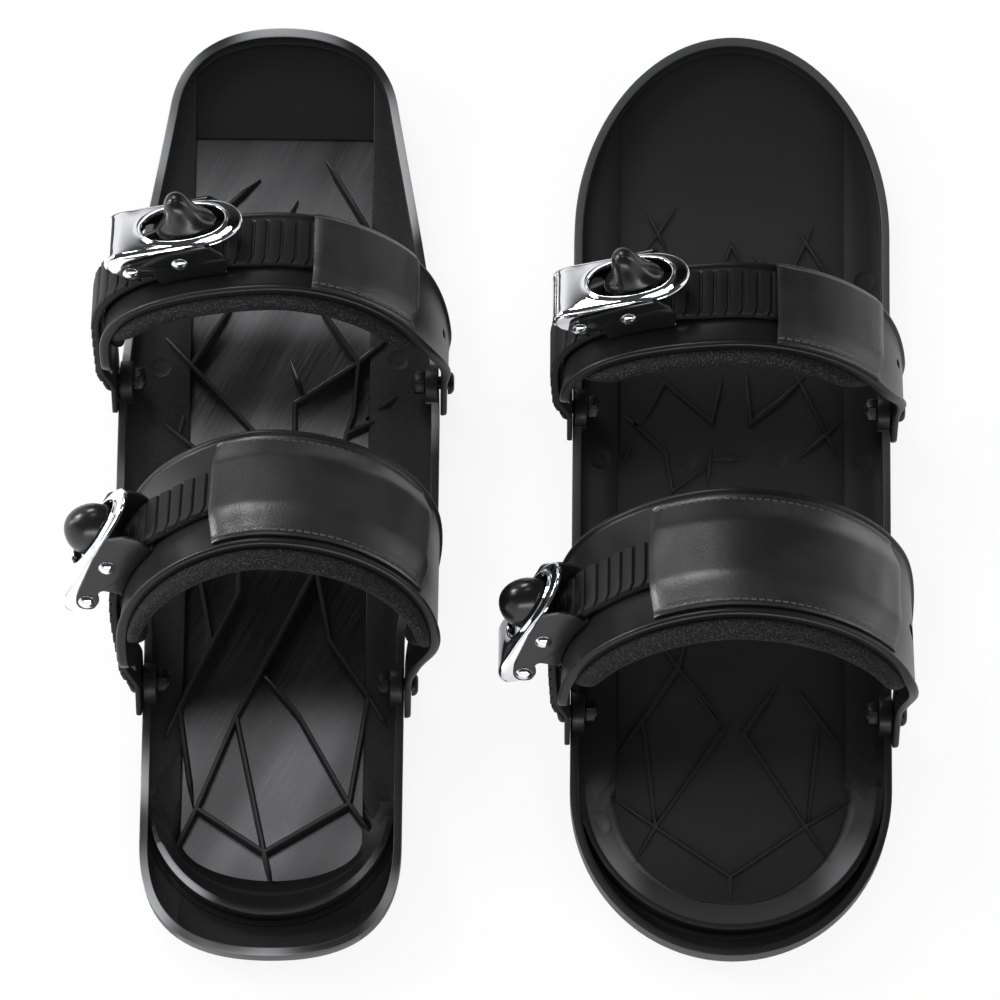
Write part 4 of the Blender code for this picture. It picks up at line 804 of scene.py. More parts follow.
buckle = {"floor": 1.2, "wall": 1.6, "sidePlay": 1.2, "pin": 1.9, "pinHead": 3.7, "pinHeadHeight": 1.5,
          "pivotBack": 23.0, "releaseRise": 10.0, "leverLength": 53.0, "leverRise": 9.0, "lever": 1.6,
          "leverWrap": 8.8, "windowStart": 7.5, "windowLength": 38.0, "windowWidth": 20.5, "tabWidth": 15.0,
          "floorBack": 13.0, "floorAhead": 18.0}
baseInner = layers["ladderHalf"] + buckle["sidePlay"]
baseHalf = baseInner + buckle["wall"]
leverHalf = baseInner - layers["gap"]
padTop = layers["pad"] + layers["gap"]
overFloor = padTop + buckle["floor"] + layers["gap"]
ladderTop = layers["ladder"] + layers["tooth"]


class Strap:
    # one strap: its sizes, its frame and the way it runs round the boot
    curveSteps, searchSteps, aside = 32, 800, 1.5

    def __init__(self, side, kind):
        self.sizes, self.kind = straps[side, kind], kind
        self.name, self.node = side + kind.title(), side + "_" + kind
        self.station, self.lean = boards[side]["stations"][kind], math.radians(self.sizes["lean"])
        near = [self.station + layers["footHalf"] * step / 4 for step in range(-4, 5)]
        self.foot = max(widthAt(outlines[side], place) for place in near) + layers["gap"]
        middle = placed(centres[side], self.station * mm, bolt["height"] * mm)
        self.matrix = middle @ Matrix.Rotation(-self.lean, 4, "X")
        self.trace()
        self.padStart = self.heightPlace(pad["endHeight"])
        self.bucklePlace = self.placeOf(self.sizes["buckle"])
        self.shoulder = self.heightPlace(self.sizes["height"] * pad["shoulder"], left=False)

    def trace(self):
        # the points of its path, from the end below its left bolt to that below its right
        foot, top, tail, square = self.foot, self.sizes["height"], layers["tail"], self.sizes["square"]
        (leftOut, leftAt), (rightOut, rightAt) = self.sizes["leftBulge"], self.sizes["rightBulge"]
        left, right = -foot - leftOut, foot + rightOut
        stretches = [
            ((-foot, -tail), (-foot, -tail / 2), (-foot, -tail / 4), (-foot, 0)),
            ((-foot, 0), (-foot, leftAt / 2), (left, leftAt * 2 / 3), (left, leftAt)),
            ((left, leftAt), (left, leftAt + square * (top - leftAt)), (left * (1 - square), top), (0, top)),
            ((0, top), (right * quarterArc, top), (right, lerp(rightAt, top, quarterArc)), (right, rightAt)),
            ((right, rightAt), (right, rightAt * 2 / 3), (foot, rightAt / 2), (foot, 0)),
            ((foot, 0), (foot, -tail / 4), (foot, -tail / 2), (foot, -tail))]
        self.points = []
        for stretch in stretches:
            self.points += interpolate_bezier(*[xy(*corner) for corner in stretch], self.curveSteps + 1)[:-1]
        self.points.append(xy(foot, -tail))
        self.lengths = [0.0]
        for before, after in zip(self.points, self.points[1:]):
            self.lengths.append(self.lengths[-1] + (after - before).length)
        self.total, self.apex = self.lengths[-1], self.lengths[3 * self.curveSteps]
        self.leftBolt, self.rightBolt = tail, self.total - tail
        self.widest = {-1: -left, 1: right}

    def middle(self, place):
        place = min(max(place, 0.0), self.total)
        low, high = 0, len(self.lengths) - 1
        while high - low > 1:
            half = (low + high) // 2
            low, high = (half, high) if self.lengths[half] <= place else (low, half)
        share = (place - self.lengths[low]) / max(self.lengths[high] - self.lengths[low], 1e-9)
        return self.points[low].lerp(self.points[high], share)

    def at(self, place, across, lift):
        # the point at a place along the path, a way across it and a height off it
        along = (self.middle(place + self.aside) - self.middle(place - self.aside)).normalized()
        spot = self.middle(place)
        return Vector((spot.x - along.y * lift, across, spot.y + along.x * lift))

    def placeOf(self, share):
        # where the strap stands out from the middle by a share of its widest
        way = -1 if share < 0 else 1
        reach = self.apex if share < 0 else self.total - self.apex
        places = (self.apex + way * reach * step / self.searchSteps for step in range(self.searchSteps + 1))
        return next(s for s in places if self.middle(s).x * way >= abs(share) * self.widest[way])

    def heightPlace(self, height, left=True):
        places = [self.total / 2 * step / self.searchSteps for step in range(self.searchSteps + 1)]
        places = places if left else [self.total - s for s in places]
        return next(s for s in places if self.middle(s).y >= height)

    def padEdges(self, place):
        # how far the pad strap reaches towards the heel and towards the toe
        tail = smoothStep(place, self.rightBolt - bolt["head"], self.shoulder)
        end = smoothStep(place, self.padStart, self.padStart + pad["taper"] * self.sizes["pad"][0])
        heel, toe = (min(lerp(layers["tailHalf"], full, tail), baseHalf + max(full - baseHalf, 0.0) * end)
                     for full in self.sizes["pad"])
        return -heel, toe

    def ladderLift(self, place):
        # the ladder climbs from the wall over the buckle's floor and comes down on the pad strap
        leave = self.bucklePlace + buckle["floorAhead"]
        climb = smoothStep(place, self.leftBolt + 1.2 * bolt["head"], self.padStart - 3 * layers["gap"])
        drop = smoothStep(place, leave + 2 * layers["gap"], leave + 2 * layers["pitch"])
        return overFloor * climb - (overFloor - padTop) * drop

    def buckleFrame(self):
        # origin on the buckle's floor under the release pin: x along the strap, y across it, z outwards
        spots = {joint["name"]: Vector(joint["pos_m"]) for joint in frame["record"]["behaviour"]["joints"]}
        pivot, release = spots[self.node + "_lever_pivot"], spots[self.node + "_release_press"]
        along = (release - pivot).normalized()
        across = Vector((0, math.cos(self.lean), -math.sin(self.lean)))
        outward = along.cross(across).normalized()
        turn = Matrix((along, across, outward)).transposed().to_4x4()
        return Matrix.Translation(release - outward * buckle["releaseRise"] * mm) @ turn @ Matrix.Scale(mm, 4)


def roundTail(place, end):
    # half the width that a strap's round end leaves it
    left = layers["tail"] - abs(place - end)
    return math.sqrt(max(layers["tailRadius"] ** 2 - max(left, 0.0) ** 2, 0.0)) if left > 0 else math.inf


def addStrip(bm, strap, places, section, measure=None):
    # a skin through the section, a closed ring of (across, lift) points, at each place; each point
    # keeps how far it lies from the right bolt, across and off the path, for the material
    flat = bm.verts.layers.float_vector.new("flat")
    sections = [section(place) for place in places]
    loops = addLoft(bm, [[strap.at(place, *spot) for spot in ring] for place, ring in zip(places, sections)])
    for place, ring, loop in zip(places, sections, loops):
        for spot, vertex in zip(ring, loop):
            reach = measure(ring, spot[0]) if measure else spot[0]
            vertex[flat] = ((strap.rightBolt - place) * mm, reach * mm, spot[1] * mm)


def capsuleSection(low, high, foot, top, roundness):
    # a flat bar's section with round edges
    r = min(roundness, (top - foot) / 2, (high - low) / 2)
    quarter = [math.pi / 2 * step / 4 for step in range(5)]
    corners = [(high - r, foot + r, -math.pi / 2), (high - r, top - r, 0.0), (low + r, top - r, math.pi / 2),
               (low + r, foot + r, math.pi)]
    return [(x + r * math.cos(start + t), z + r * math.sin(start + t))
            for x, z, start in corners for t in quarter]


pad = {"endHeight": 22.0, "shoulder": 0.62, "taper": 0.7, "spacing": 2.4, "endSpare": 0.05, "thinEnd": 0.55,
       "thinReach": 5.0, "railReach": 6.0, "bead": (0.35, 0.8, 1.2, 1.57, 1.95, 2.35, 2.8),
       "inner": (0.25, 0.5, 0.75), "sharp": 50}


def makePad(strap, look):
    start, head = strap.padStart, bolt["head"]

    def section(place):
        heel, toe = strap.padEdges(place)
        rail = layers["rail"] * smoothStep(strap.rightBolt - place, 2 * head, 4 * head)
        rail *= smoothStep(place, start, start + pad["railReach"])
        limit = roundTail(place, strap.total)
        heel, toe = max(heel, -limit), min(toe, limit)
        wide = min(layers["railWidth"], (toe - heel) / 5)
        shelf = layers["pad"] * lerp(pad["thinEnd"], 1.0, smoothStep(place, start, start + pad["thinReach"]))
        bead, crest = wide * 1.25, shelf + rail
        toeRail = [(toe - 0.7, 0.0), (toe - 0.2, 0.2), (toe, 0.8), (toe, crest - 0.7),
                   (toe - 0.25, crest - 0.2), (toe - 0.75, crest), (toe - wide + 0.5, crest),
                   (toe - wide, shelf + rail * 0.75), (toe - wide * 1.35, shelf + rail * 0.18),
                   (toe - wide * 1.7, shelf)]
        inner = [(lerp(toe - wide * 1.7, heel + wide * 1.7, share), shelf) for share in pad["inner"]]
        heelRail = [(heel + wide * 1.9, shelf), (heel + bead * 1.3, shelf + rail * 0.1)]
        heelRail += [(heel + bead * (0.62 + 0.56 * math.cos(t)),
                      max(crest - 1.5 + 1.5 * math.sin(t), shelf * (t < 1.57))) for t in pad["bead"]]
        heelRail += [(heel, max(crest - 1.9, 0.9)), (heel + 0.2, 0.2), (heel + 0.7, 0.0)]
        return toeRail + inner + heelRail
    bm = bmesh.new()
    addStrip(bm, strap, steps(start, strap.total - pad["endSpare"], pad["spacing"]), section)
    return finishPiece(strap.name + "Strap", bm, strap.matrix, look, sharp=pad["sharp"])


liner = {"thick": 5.0, "endHeight": 30.0, "endHalf": 12.0, "taper": 45.0, "tip": 8.0, "tipLeast": 0.02,
         "sag": 0.35, "sagScale": 0.06, "seed": 3.1, "round": 2.3, "spacing": 3.0, "fill": 0.9, "sharp": 60}


def makeLiner(strap, look):
    start, end = (strap.heightPlace(liner["endHeight"], left=side) for side in (True, False))

    def section(place):
        inside = min(place - start, end - place)
        spread = smoothStep(inside, 0.0, liner["taper"])
        tip = math.sqrt(min(1.0, max(inside, 0.0) / liner["tip"] + liner["tipLeast"]))
        heel, toe = (lerp(liner["endHalf"], full, spread) * tip for full in strap.sizes["liner"])
        sag = liner["sag"] * noise.noise(Vector((place * liner["sagScale"], liner["seed"], 0.0)))
        top = -layers["gap"]
        return capsuleSection(sag - heel, toe + sag, top - liner["thick"], top, liner["round"])
    bm = bmesh.new()
    addStrip(bm, strap, steps(start, end, liner["spacing"]), section)
    obj = finishPiece(strap.name + "Liner", bm, strap.matrix, look, sharp=liner["sharp"])
    return obj


tooth = {"profile": ((0.0, -0.3), (0.07, 0.8), (0.13, 1.0), (0.78, 0.86), (0.85, 0.66), (0.92, -0.3)),
         "across": (-1.0, -0.97, -0.72, 0.97, 1.0), "edge": 0.25, "endHeight": 0.55, "slant": 0.28,
         "slantFrom": 0.62, "first": 1.6, "round": 0.7, "spacing": 2.0, "startSpare": 0.05, "sharp": 40}


def makeLadder(strap, look):
    # a flat strap with a row of teeth over it, each a bar that drops at its ends and slants at one
    end = strap.placeOf(strap.sizes["cover"][0]) + 2 * layers["pitch"]
    pitch, toothHalf = layers["pitch"], layers["ladderHalf"] - tooth["edge"]

    def section(place):
        half, lift = min(layers["ladderHalf"], roundTail(place, 0.0)), strap.ladderLift(place)
        return capsuleSection(-half, half, lift, lift + layers["ladder"], tooth["round"])
    bm = bmesh.new()
    addStrip(bm, strap, steps(tooth["startSpare"], end, tooth["spacing"]), section)
    first = strap.leftBolt + tooth["first"] * bolt["head"]
    for number in range(int((end - first) / pitch)):
        root = first + number * pitch
        rings = []
        for side in tooth["across"]:
            across, high = side * toothHalf, layers["tooth"] * (tooth["endHeight"] if abs(side) == 1 else 1.0)
            slant = pitch * tooth["slant"] * smoothStep(-side, tooth["slantFrom"], 1.0)
            rings.append([strap.at(root + share * pitch - slant, across,
                                   strap.ladderLift(root + share * pitch) + layers["ladder"] + level * high)
                          for share, level in tooth["profile"]])
        addLoft(bm, rings)
    return finishPiece(strap.name + "Ladder", bm, strap.matrix, look, sharp=tooth["sharp"])


sleeve = {"columns": 60, "thick": 1.2, "over": 0.15, "margin": 0.6, "shoulder": 0.8, "crownEnd": 1.02,
          "hemThin": 0.5, "hemReach": 1.2, "welt": 1.0, "weltHigh": 0.55, "groove": 0.25, "grooveWidth": 0.7,
          "seam": 3.0, "fold": 0.9, "foldReach": 16.0, "foldScale": (0.13, 0.035), "foldSeed": 7.3,
          "foldFrom": 6.0, "spacing": 1.8, "fill": 0.5, "sharp": 50}


def makeCover(strap, look):
    start, end = (strap.placeOf(share) for share in strap.sizes["cover"])
    over, columns = padTop + ladderTop + layers["gap"] + sleeve["over"], sleeve["columns"]
    margin, hem = sleeve["margin"], padTop + layers["rail"]
    if strap.kind == "ankle":
        # this one lies between the pad strap's rails
        margin, hem = 2 * layers["railWidth"], padTop

    def outer(place, share):
        heel, toe = strap.padEdges(place)
        heel, toe = heel + margin, toe - margin
        across = lerp(heel, toe, share)
        edge = abs(toe if across > 0 else heel)
        crown = 1.0 - smoothStep(abs(across) / edge, (layers["ladderHalf"] + sleeve["shoulder"]) / edge,
                                 sleeve["crownEnd"])
        return across, lerp(hem, over, crown)

    def section(place):
        top = [outer(place, 1 - step / columns) for step in range(columns + 1)]
        inside, toe, heel = min(place - start, end - place), top[0][0], top[-1][0]
        skin = sleeve["thick"] * lerp(sleeve["hemThin"], 1.0, smoothStep(inside, 0.0, sleeve["hemReach"]))
        loose = sleeve["fold"] * math.exp(-(inside / sleeve["foldReach"]) ** 2)

        def relief(across):
            # a rounded welt along both edges, a sewn groove inside it and loose folds near the ends
            apart = min(toe - across, across - heel)
            welt = sleeve["weltHigh"] * math.sqrt(max(1 - (apart / sleeve["welt"] - 1) ** 2, 0.0))
            groove = sleeve["groove"] * math.exp(-((apart - sleeve["seam"]) / sleeve["grooveWidth"]) ** 2)
            along, aside = sleeve["foldScale"]
            fold = noise.noise(Vector((place * along, across * aside, sleeve["foldSeed"])))
            return welt - groove + loose * fold * smoothStep(apart, 0.0, sleeve["foldFrom"])
        return [(across, lift + skin + relief(across)) for across, lift in top] + top[::-1]
    bm = bmesh.new()
    addStrip(bm, strap, steps(start, end, sleeve["spacing"]), section,
             lambda ring, across: min(ring[0][0] - across, across - ring[columns][0]))
    obj = finishPiece(strap.name + "Cover", bm, strap.matrix, look, sharp=sleeve["sharp"])
    return obj


# The buckles. Each part is laid out in the buckle's own frame, x along the strap, y across it and
# z off it, from the point on the ladder that lies under the release pin.
leverPlate = {"wrap": ((1.0, 0.0), (1.35, 0.65), (0.9, 1.0), (0.1, 1.0)),
              "top": ((0.4, 1.0), (0.78, 0.78), (1.0, 0.42)), "points": 160, "tipRound": 20.5, "corner": 5.0,
              "crown": 0.9, "crownFrom": (8.0, 24.0), "bead": 1.0, "beadOut": 1.3,
              "beadTurns": (0.25, 0.7, 1.15, 1.57, 2.0, 2.5), "edge": 1.6, "edgeTurns": (0.5, 1.0, 1.57),
              "around": 96, "merge": 0.001, "sharp": 38}


def leverPath():
    # the plate's underside from behind its pin, round the back and out to its tip
    rise, back, tip = buckle["leverRise"], -buckle["leverWrap"], buckle["leverLength"]
    wrap = [xy(back * x, rise * z) for x, z in leverPlate["wrap"]]
    top = [wrap[-1]] + [xy(tip * x, rise * z) for x, z in leverPlate["top"]]
    points = list(interpolate_bezier(*wrap, 25))[:-1] + list(interpolate_bezier(*top, 61))
    return resample([Vector(p) for p in points], leverPlate["points"])


leverLine = leverPath()
leverSpan = sum((b - a).length for a, b in zip(leverLine, leverLine[1:]))


def leverPoint(u, across, lift):
    # u runs along the plate from its wrapped end, lift is off its underside
    share = min(max(u / leverSpan, 0.0), 1.0) * (len(leverLine) - 1)
    index = min(int(share), len(leverLine) - 2)
    spot = leverLine[index].lerp(leverLine[index + 1], share - index)
    before, after = leverLine[max(index - 3, 0)], leverLine[min(index + 4, len(leverLine) - 1)]
    along = (after - before).normalized()
    lift -= leverPlate["crown"] * smoothStep(u, *leverPlate["crownFrom"]) * (across / leverHalf) ** 2
    return Vector((spot.x - along.y * lift, across, spot.y + along.x * lift))


def leverReach(x):
    # where on the plate a place along the strap lies
    index = next(i for i, p in enumerate(leverLine) if p.y > buckle["leverRise"] * 0.6 and p.x >= x)
    return leverSpan * index / (len(leverLine) - 1)


def leverOutline():
    # the plate laid flat, with a round tip and softly rounded corners at its wrapped end
    tip, bend, corner = leverSpan, leverPlate["tipRound"], leverPlate["corner"]
    shoulder, rest = tip - bend, corner * (1 - quarterArc)
    half = bezierPath([
        (xy(tip, 0), None, xy(tip, leverHalf * quarterArc * 1.05)),
        (xy(shoulder, leverHalf), xy(shoulder + bend * quarterArc, leverHalf), xy(shoulder, leverHalf)),
        (xy(corner, leverHalf), xy(corner, leverHalf), xy(rest, leverHalf)),
        (xy(0, leverHalf - corner), xy(0, leverHalf - rest), xy(0, leverHalf - corner)),
        (xy(0, 0), xy(0, 0), None)], 24)
    half = resample(half, leverPlate["around"] // 2 + 1)
    return half + [xy(p.x, -p.y) for p in half[-2:0:-1]]


def addLeverPlate(bm):
    # one closed skin: over the window's beaded rim, out over the top, round the edge and back below
    outline = leverOutline()
    middle = leverReach(buckle["windowStart"]) + buckle["windowLength"] / 2
    long, wide, thick = buckle["windowLength"] / 2, buckle["windowWidth"] / 2, buckle["lever"]
    bead, out, lip = leverPlate["bead"], leverPlate["beadOut"], leverPlate["edge"]

    def oval(grow, lift):
        ring = []
        for point in outline:
            angle = math.atan2(point.y / wide, (point.x - middle) / long)
            square = (0.86 + 0.14 * abs(math.cos(2 * angle))) ** 0.25
            ring.append(Vector((middle + (long + grow) * math.cos(angle) / square,
                                (wide + grow) * math.sin(angle) / square, lift)))
        return ring

    def edge(shrink, lift):
        ring = []
        for index, point in enumerate(outline):
            along = (outline[(index + 1) % len(outline)] - outline[index - 1]).normalized()
            ring.append(Vector((point.x - along.y * shrink, point.y + along.x * shrink, lift)))
        return ring
    way = 1 if (outline[1] - outline[0]).cross(outline[2] - outline[1]).z > 0 else -1
    rings = [oval(0.0, 0.3), oval(-0.1, thick * 0.8)]
    rings += [oval(out * 0.5 - (out * 0.5 + 0.1) * math.cos(t), thick + bead * math.sin(t))
              for t in leverPlate["beadTurns"]]
    rings += between(oval(out + bead, thick), edge(lip * way, thick), [step / 9 for step in range(10)])
    rings += [edge((lip - lip * math.sin(t)) * way, thick * (0.1 + 0.9 * math.cos(t)))
              for t in leverPlate["edgeTurns"]]
    rings.append(edge(0.25 * way, 0.0))
    rings += between(edge(lip * way, 0.0), oval(1.0, 0.0), [step / 8 for step in range(9)])
    addLoft(bm, [[leverPoint(*spot) for spot in ring] for ring in rings], closed=True)


def addSide(bm, outline, near, far, corner, edge):
    # a flat plate with rounded corners and softened edges, from one place across the strap to another
    loops = addLoft(bm, [[Vector((x, across, z)) for x, z in outline] for across in (near, far)])
    if corner:
        roundEdges(bm, [bm.edges.get((a, b)) for a, b in zip(*loops)], corner, segments=4)
    flat = [face for face in bm.faces if len(face.verts) > 4 and face.calc_area() > 20
            and all(abs(v.co.y - face.verts[0].co.y) < 1e-4 for v in face.verts)
            and min(abs(face.verts[0].co.y - near), abs(face.verts[0].co.y - far)) < 1e-4]
    rims = [e for face in flat for e in face.edges]
    roundEdges(bm, list(dict.fromkeys(rims)), edge, segments=2)


def roundRing(radius, reach, sides):
    # a ring about y, whose radius is a number or follows the angle
    far = radius if callable(radius) else lambda t: radius
    return [Vector((far(t) * math.cos(t), reach, far(t) * math.sin(t))) for t in turns(sides)]


leverArm = {"inset": 0.12, "under": 0.3, "end": 0.62, "edge": 0.3,
            "below": [(-4.84, -3.08), (-2.2, -5.06), (2.2, -4.84), (4.84, -2.64), (6.16, 0.88), (11.44, 3.6),
                      (27.6, 4.05), (34.98, 6.3)]}


def makeLever(strap, matrix, look):
    bm = bmesh.new()
    addLeverPlate(bm)
    end = buckle["leverLength"] * leverArm["end"]
    above = [(p.x, p.y + leverArm["under"]) for p in leverLine[::6] if p.x < end]
    outline, face = leverArm["below"] + above[::-1], leverHalf - leverArm["inset"]
    for way in (-1, 1):
        addSide(bm, outline, way * (face - buckle["lever"]), way * face, 0.0, leverArm["edge"])
    return finishPiece(strap.name + "Lever", bm, matrix, look, leverPlate["merge"],
                       leverPlate["sharp"])


knobRings = {   # (height, half length, half width): a flared bell on the toe straps, a dome on the others
    "toe": [(7.5, 14.0, 8.8), (8.6, 13.7, 8.8), (9.8, 12.9, 8.6), (11.2, 11.6, 8.2), (13.0, 9.9, 7.6),
            (15.0, 8.6, 7.1), (17.5, 7.5, 6.6), (20.0, 6.6, 6.2), (22.2, 5.9, 5.8), (24.2, 5.1, 5.1),
            (25.8, 4.1, 4.2), (26.9, 2.9, 3.0), (27.5, 1.6, 1.7), (27.7, 0.6, 0.6)],
    "ankle": [(7.5, 13.9, 8.8), (9.5, 13.9, 8.9), (12.0, 13.5, 8.9), (14.5, 12.7, 8.6), (16.6, 11.4, 7.9),
              (18.6, 9.6, 6.9), (20.4, 7.4, 5.5), (21.6, 5.2, 4.0), (22.4, 3.0, 2.3), (22.7, 1.1, 0.9)],
}
tab = {"ahead": 5.0, "around": 48, "corner": 0.8, "edge": 0.4, "sharp": 50,
       "side": [(-8.5, -5.0), (-5.0, -4.7), (-1.0, -4.0), (3.5, -3.4), (8.0, 0.0), (11.0, 5.0), (11.0, 10.0),
                (-1.0, 10.0), (-4.2, 4.2), (-5.2, 0.0), (-8.2, -2.8)]}


def makeTab(strap, matrix, look):
    bm = bmesh.new()
    half = buckle["tabWidth"] / 2
    addSide(bm, tab["side"], -half, half, tab["corner"], tab["edge"])
    addLoft(bm, [[Vector((tab["ahead"] + long * math.cos(t), wide * math.sin(t), height))
                  for t in turns(tab["around"])] for height, long, wide in knobRings[strap.kind]])
    return finishPiece(strap.name + "ReleaseTab", bm, matrix, look, sharp=tab["sharp"])


base = {"corner": 1.7, "edge": 0.3, "floorRound": 0.2, "underSpacing": 5.0, "floorSpacing": 2.5, "sharp": 40,
        "side": [(21.0, 4.0), (20.1, 10.0), (15.0, 17.42), (0.0, 17.42), (-11.5, 16.42), (-23.0, 15.3),
                 (-27.24, 13.18), (-28.3, 10.0), (-26.18, 5.23), (-20.35, 4.7), (-17.7, 7.35), (-14.0, 6.82)]}


def makeBase(strap, matrix, look):
    # two side plates joined by a floor that lies between the pad strap and the ladder
    toBuckle, floor = matrix.inverted() @ strap.matrix, buckle["floor"]
    back, ahead = strap.bucklePlace - buckle["floorBack"], strap.bucklePlace + buckle["floorAhead"]
    under = [toBuckle @ strap.at(place, 0.0, padTop + floor / 2)
             for place in steps(back + floor, ahead - floor, base["underSpacing"])]
    outline = [(p.x, p.z) for p in under] + base["side"]
    bm = bmesh.new()
    for way in (-1, 1):
        addSide(bm, outline, way * baseInner, way * baseHalf, base["corner"], base["edge"])
    half = baseHalf - buckle["wall"] / 2
    section = capsuleSection(-half, half, padTop, padTop + floor, base["floorRound"])
    addLoft(bm, [[toBuckle @ strap.at(place, *spot) for spot in section]
                 for place in steps(back, ahead, base["floorSpacing"])])
    return finishPiece(strap.name + "BuckleBase", bm, matrix, look, sharp=base["sharp"])


rivet = {"sides": 32, "dome": (0.02, 0.2, 0.4, 0.6, 0.8, 1.0, 1.2, 1.35), "sharp": 50}


def makePin(strap, end, matrix, look):
    head, high, reach = buckle["pinHead"], buckle["pinHeadHeight"], baseHalf + layers["gap"]
    low = math.cos(rivet["dome"][-1])
    side = [(head * math.sin(t), reach + high * (math.cos(t) - low) / (1 - low)) for t in rivet["dome"]]
    side += [(head, reach - 0.02), (head - 0.1, reach - 0.1), (buckle["pin"], reach - 0.1)]
    bm = bmesh.new()
    addLoft(bm, [roundRing(radius, height, rivet["sides"])
                 for radius, height in side + [(radius, -height) for radius, height in reversed(side)]])
    return finishPiece(strap.name + end.title() + "Pin", bm, matrix, look, sharp=rivet["sharp"])


spring = {"wire": 0.8, "space": 0.5, "coils": 2, "leg": 4.5, "turnSteps": 20, "sides": 8, "sharp": 60}


def makeSpring(strap, matrix, look):
    radius = buckle["pin"] + 2 * layers["gap"] + spring["wire"] / 2
    pitch, count = spring["wire"] + spring["space"], spring["turnSteps"]
    inner = buckle["tabWidth"] / 2 + 1.5 * spring["wire"]
    points = [Vector((-radius, inner, -spring["leg"]))]
    for step in range(spring["coils"] * count + 1):
        t = math.tau * step / count
        points.append(Vector((-radius * math.cos(t), inner + pitch * step / count, radius * math.sin(t))))
    points.append(Vector((-radius, inner + pitch * spring["coils"], spring["leg"])))
    rings, up = [], Vector((0, 0, 1))
    for index, point in enumerate(points):
        along = (points[min(index + 1, len(points) - 1)] - points[max(index - 1, 0)]).normalized()
        side = along.cross(up)
        side = (side if side.length > 0.05 else along.cross(Vector((1, 0, 0)))).normalized()
        up = side.cross(along).normalized()
        rings.append([point + (side * math.cos(t) + up * math.sin(t)) * spring["wire"] / 2
                      for t in turns(spring["sides"])])
    bm = bmesh.new()
    addLoft(bm, rings)
    return finishPiece(strap.name + "PawlSpring", bm, matrix, look, sharp=spring["sharp"])


def finishFastener(name, bm, strap, side, face, look):
    turn = Matrix.Translation((side * face, 0, 0)) @ Matrix.Rotation(-side * math.pi / 2, 4, "Z")
    return finishPiece(name, bm, strap.matrix @ turn, look, sharp=bolt["sharp"])


def makeBolt(strap, end, side, face, reach, look):
    # a button head bolt with a hexagon socket, along x
    radius, head, high, sixth = bolt["radius"], bolt["head"], bolt["headHeight"], math.pi / 3

    def socket(t):
        return head * bolt["socket"] / math.cos((t + sixth / 2) % sixth - sixth / 2)
    profile = [(0.01, -reach), (radius - 0.5, -reach), (radius, 0.5 - reach), (radius, 0.0),
               (head - 0.2, 0.0), (head, 0.2), (head, high * 0.3), (head * 0.93, high * 0.58),
               (head * 0.8, high * 0.82), (head * 0.62, high * 0.97), (head * 0.44, high),
               (socket, high * 0.98), (socket, high * 0.35)]
    bm = bmesh.new()
    addLoft(bm, [roundRing(width, place, bolt["around"]) for width, place in profile])
    return finishFastener(strap.name + end.title() + "Bolt", bm, strap, side, face, look)


def makeNut(strap, end, side, face, look):
    flats, thick, bore, sixth = bolt["nutFlats"], bolt["nut"], bolt["radius"] + layers["gap"], math.pi / 3
    rim, edge = flats / 2 - bolt["nutFace"], bolt["nutEdge"]

    def hexagon(t):
        return min(flats / 2 / math.cos(t % sixth - sixth / 2), flats / math.sqrt(3)) * bolt["nutDraft"]
    profile = [(bore, -thick), (bore + 0.5, -thick), (rim, -thick), (hexagon, edge - thick),
               (hexagon, -edge), (rim, 0.0), (bore, 0.0)]
    bm = bmesh.new()
    addLoft(bm, [roundRing(width, place, bolt["around"]) for width, place in profile], closed=True)
    return finishFastener(strap.name + end.title() + "Nut", bm, strap, side, face, look)


def makeStrap(side, kind, looks):
    strap = Strap(side, kind)
    onBuckle = strap.buckleFrame()
    pins = {end: onBuckle @ Matrix.Translation((x, 0, buckle["releaseRise"]))
            for end, x in (("lever", -buckle["pivotBack"]), ("release", 0.0))}
    binding, lever, release = strap.node + "_binding", strap.node + "_lever", strap.node + "_release"
    made = [("_strap", binding, makePad(strap, looks["strap"])),
            ("_liner", binding, makeLiner(strap, looks["foam"])),
            ("_ladder", binding, makeLadder(strap, looks["ladder"])),
            ("_cover", binding, makeCover(strap, looks["cover"])),
            ("_buckle_base", binding, makeBase(strap, onBuckle, looks["buckleSteel"])),
            ("_pawl_spring", binding, makeSpring(strap, pins["release"], looks["spring"]))]
    made += [("_%s_pin" % end, binding, makePin(strap, end, pins[end], looks["pin"])) for end in pins]
    made += [("_lever", lever, makeLever(strap, pins["lever"], looks["lever"])),
             ("_release_tab", release, makeTab(strap, pins["release"], looks["tab"]))]
    wall = widthAt(outlines[side], strap.station) - deck["rimWidth"] - lug["inward"] - layers["gap"]
    for end, way, thick in (("ladder", -1, layers["ladder"]), ("strap", 1, layers["pad"])):
        face = strap.foot + thick + layers["gap"]
        reach = face - wall + bolt["nut"] + bolt["tip"]
        made.append(("_%s_bolt" % end, "boards", makeBolt(strap, end, way, face, reach, looks["fastener"])))
        made.append(("_%s_nut" % end, "boards", makeNut(strap, end, way, wall, looks["fastener"])))
    for ending, body, obj in made:
        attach(obj, body)
        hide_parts(strap.node + ending)
    print(strap.name, "strap made")


stitch = {"row": 3.0, "wide": 0.55, "pitch": 3.4}
boltHoles = [(17.0, 2.1, 2.1), (34.0, 2.1, 2.1)]   # (distance from the bolt, half length, half width)
endSlot = [(54.0, 6.0, 3.4)]


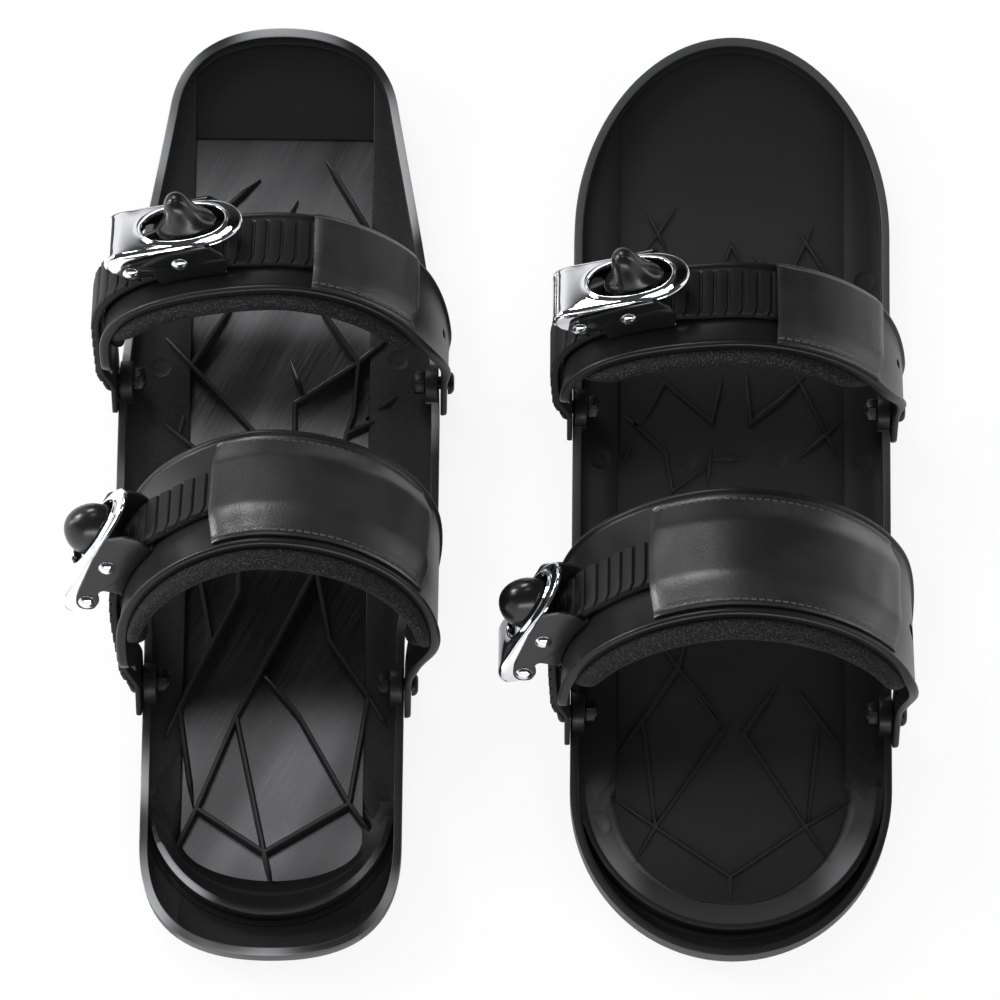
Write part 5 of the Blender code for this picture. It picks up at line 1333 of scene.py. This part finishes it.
def padLook(name, holes):
    # satin plastic with holes through it
    look = plasticLook(name, 0.010, 0.34, depth=0.03, gloss=0.3)
    flat = look.attribute("flat", 1)
    along, across = look.axis("X", flat), look.axis("Y", flat)
    solid = rim = 1.0
    for distance, long, wide in holes:
        away, aside = (along - distance * mm) / (long * mm), across / (wide * mm)
        apart = (away * away + aside * aside) ** 0.5
        solid, rim = apart.smooth(0.97, 1.03) * solid, apart.smooth(1.0, 1.45) * rim
    look.set(Alpha=solid, Normal=look.bump(rim, 0.4, 0.8))
    return look


def leatherLook(name):
    # imitation leather: pebbled, with a sewn row of stitches beside each edge
    look = Look(name)
    flat = look.attribute("flat", 1)
    along, edge = look.axis("X", flat), look.axis("Y", flat)
    pebbles, fine, broad = look.grains(1250.0), look.noise(2600.0, 2.0, 0.6), look.noise(22.0, 3.0, 0.55)
    row = 1.0 - ((edge - stitch["row"] * mm).math("ABSOLUTE") / (stitch["wide"] * mm)).smooth(0.6, 1.0)
    wave = (along * (math.tau / (stitch["pitch"] * mm))).math("SINE")
    thread = row * wave.smooth(-0.55, -0.25)
    height = pebbles * -0.25 + fine * 0.12 + broad * 0.8 + thread * 1.6
    shade = look.blend(thread, look.greys(broad.smooth(0.4, 0.7), (0.007, 0.014)), grey(0.05))
    look.set(Base_Color=shade, Roughness=0.36 + (broad - 0.5) * 0.2 + thread * 0.25, Specular_IOR_Level=0.8,
             Normal=look.bump(height, 0.35, 0.6))
    return look


def foamLook(name):
    # black foam under a speckled fabric face
    look = Look(name, Roughness=0.9, Specular_IOR_Level=0.25)
    speck, weave, broad = look.noise(1300.0, 2.0, 0.7), look.grains(900.0), look.noise(60.0, 2.0, 0.5)
    look.set(Base_Color=look.greys(speck.smooth(0.52, 0.66), (0.006, 0.045)),
             Normal=look.bump(speck + weave * 0.5 + broad * 0.6, 0.35, 0.8))
    return look


def metalLook(name, shade, rough, metallic=1.0):
    look = Look(name, Base_Color=grey(shade), Metallic=metallic)
    haze = look.noise(260.0, 2.0, 0.5)
    look.set(Roughness=rough + (haze - 0.5) * rough * 0.5)
    return look


shared = {"foam": foamLook("foamFace"),
          "ladder": plasticLook("ladderPlastic", 0.010, 0.52, 1800.0, 0.05, 0.25),
          "cover": leatherLook("leatherette"), "lever": metalLook("leverChrome", 0.9, 0.03),
          "tab": plasticLook("knobPlastic", 0.008, 0.24, depth=0.02),
          "spring": metalLook("springSteel", 0.45, 0.25),
          "pin": metalLook("rivetChrome", 0.9, 0.07), "fastener": metalLook("blackSteel", 0.012, 0.38, 0.6)}
looks = {"toe": {**shared, "strap": padLook("toePad", boltHoles),
                 "buckleSteel": metalLook("glossSteel", 0.012, 0.12, 0.3)},
         "ankle": {**shared, "strap": padLook("anklePad", boltHoles + endSlot),
                   "buckleSteel": metalLook("satinSteel", 0.045, 0.32, 0.7)}}
for side, kind in straps:
    makeStrap(side, kind, looks[kind])
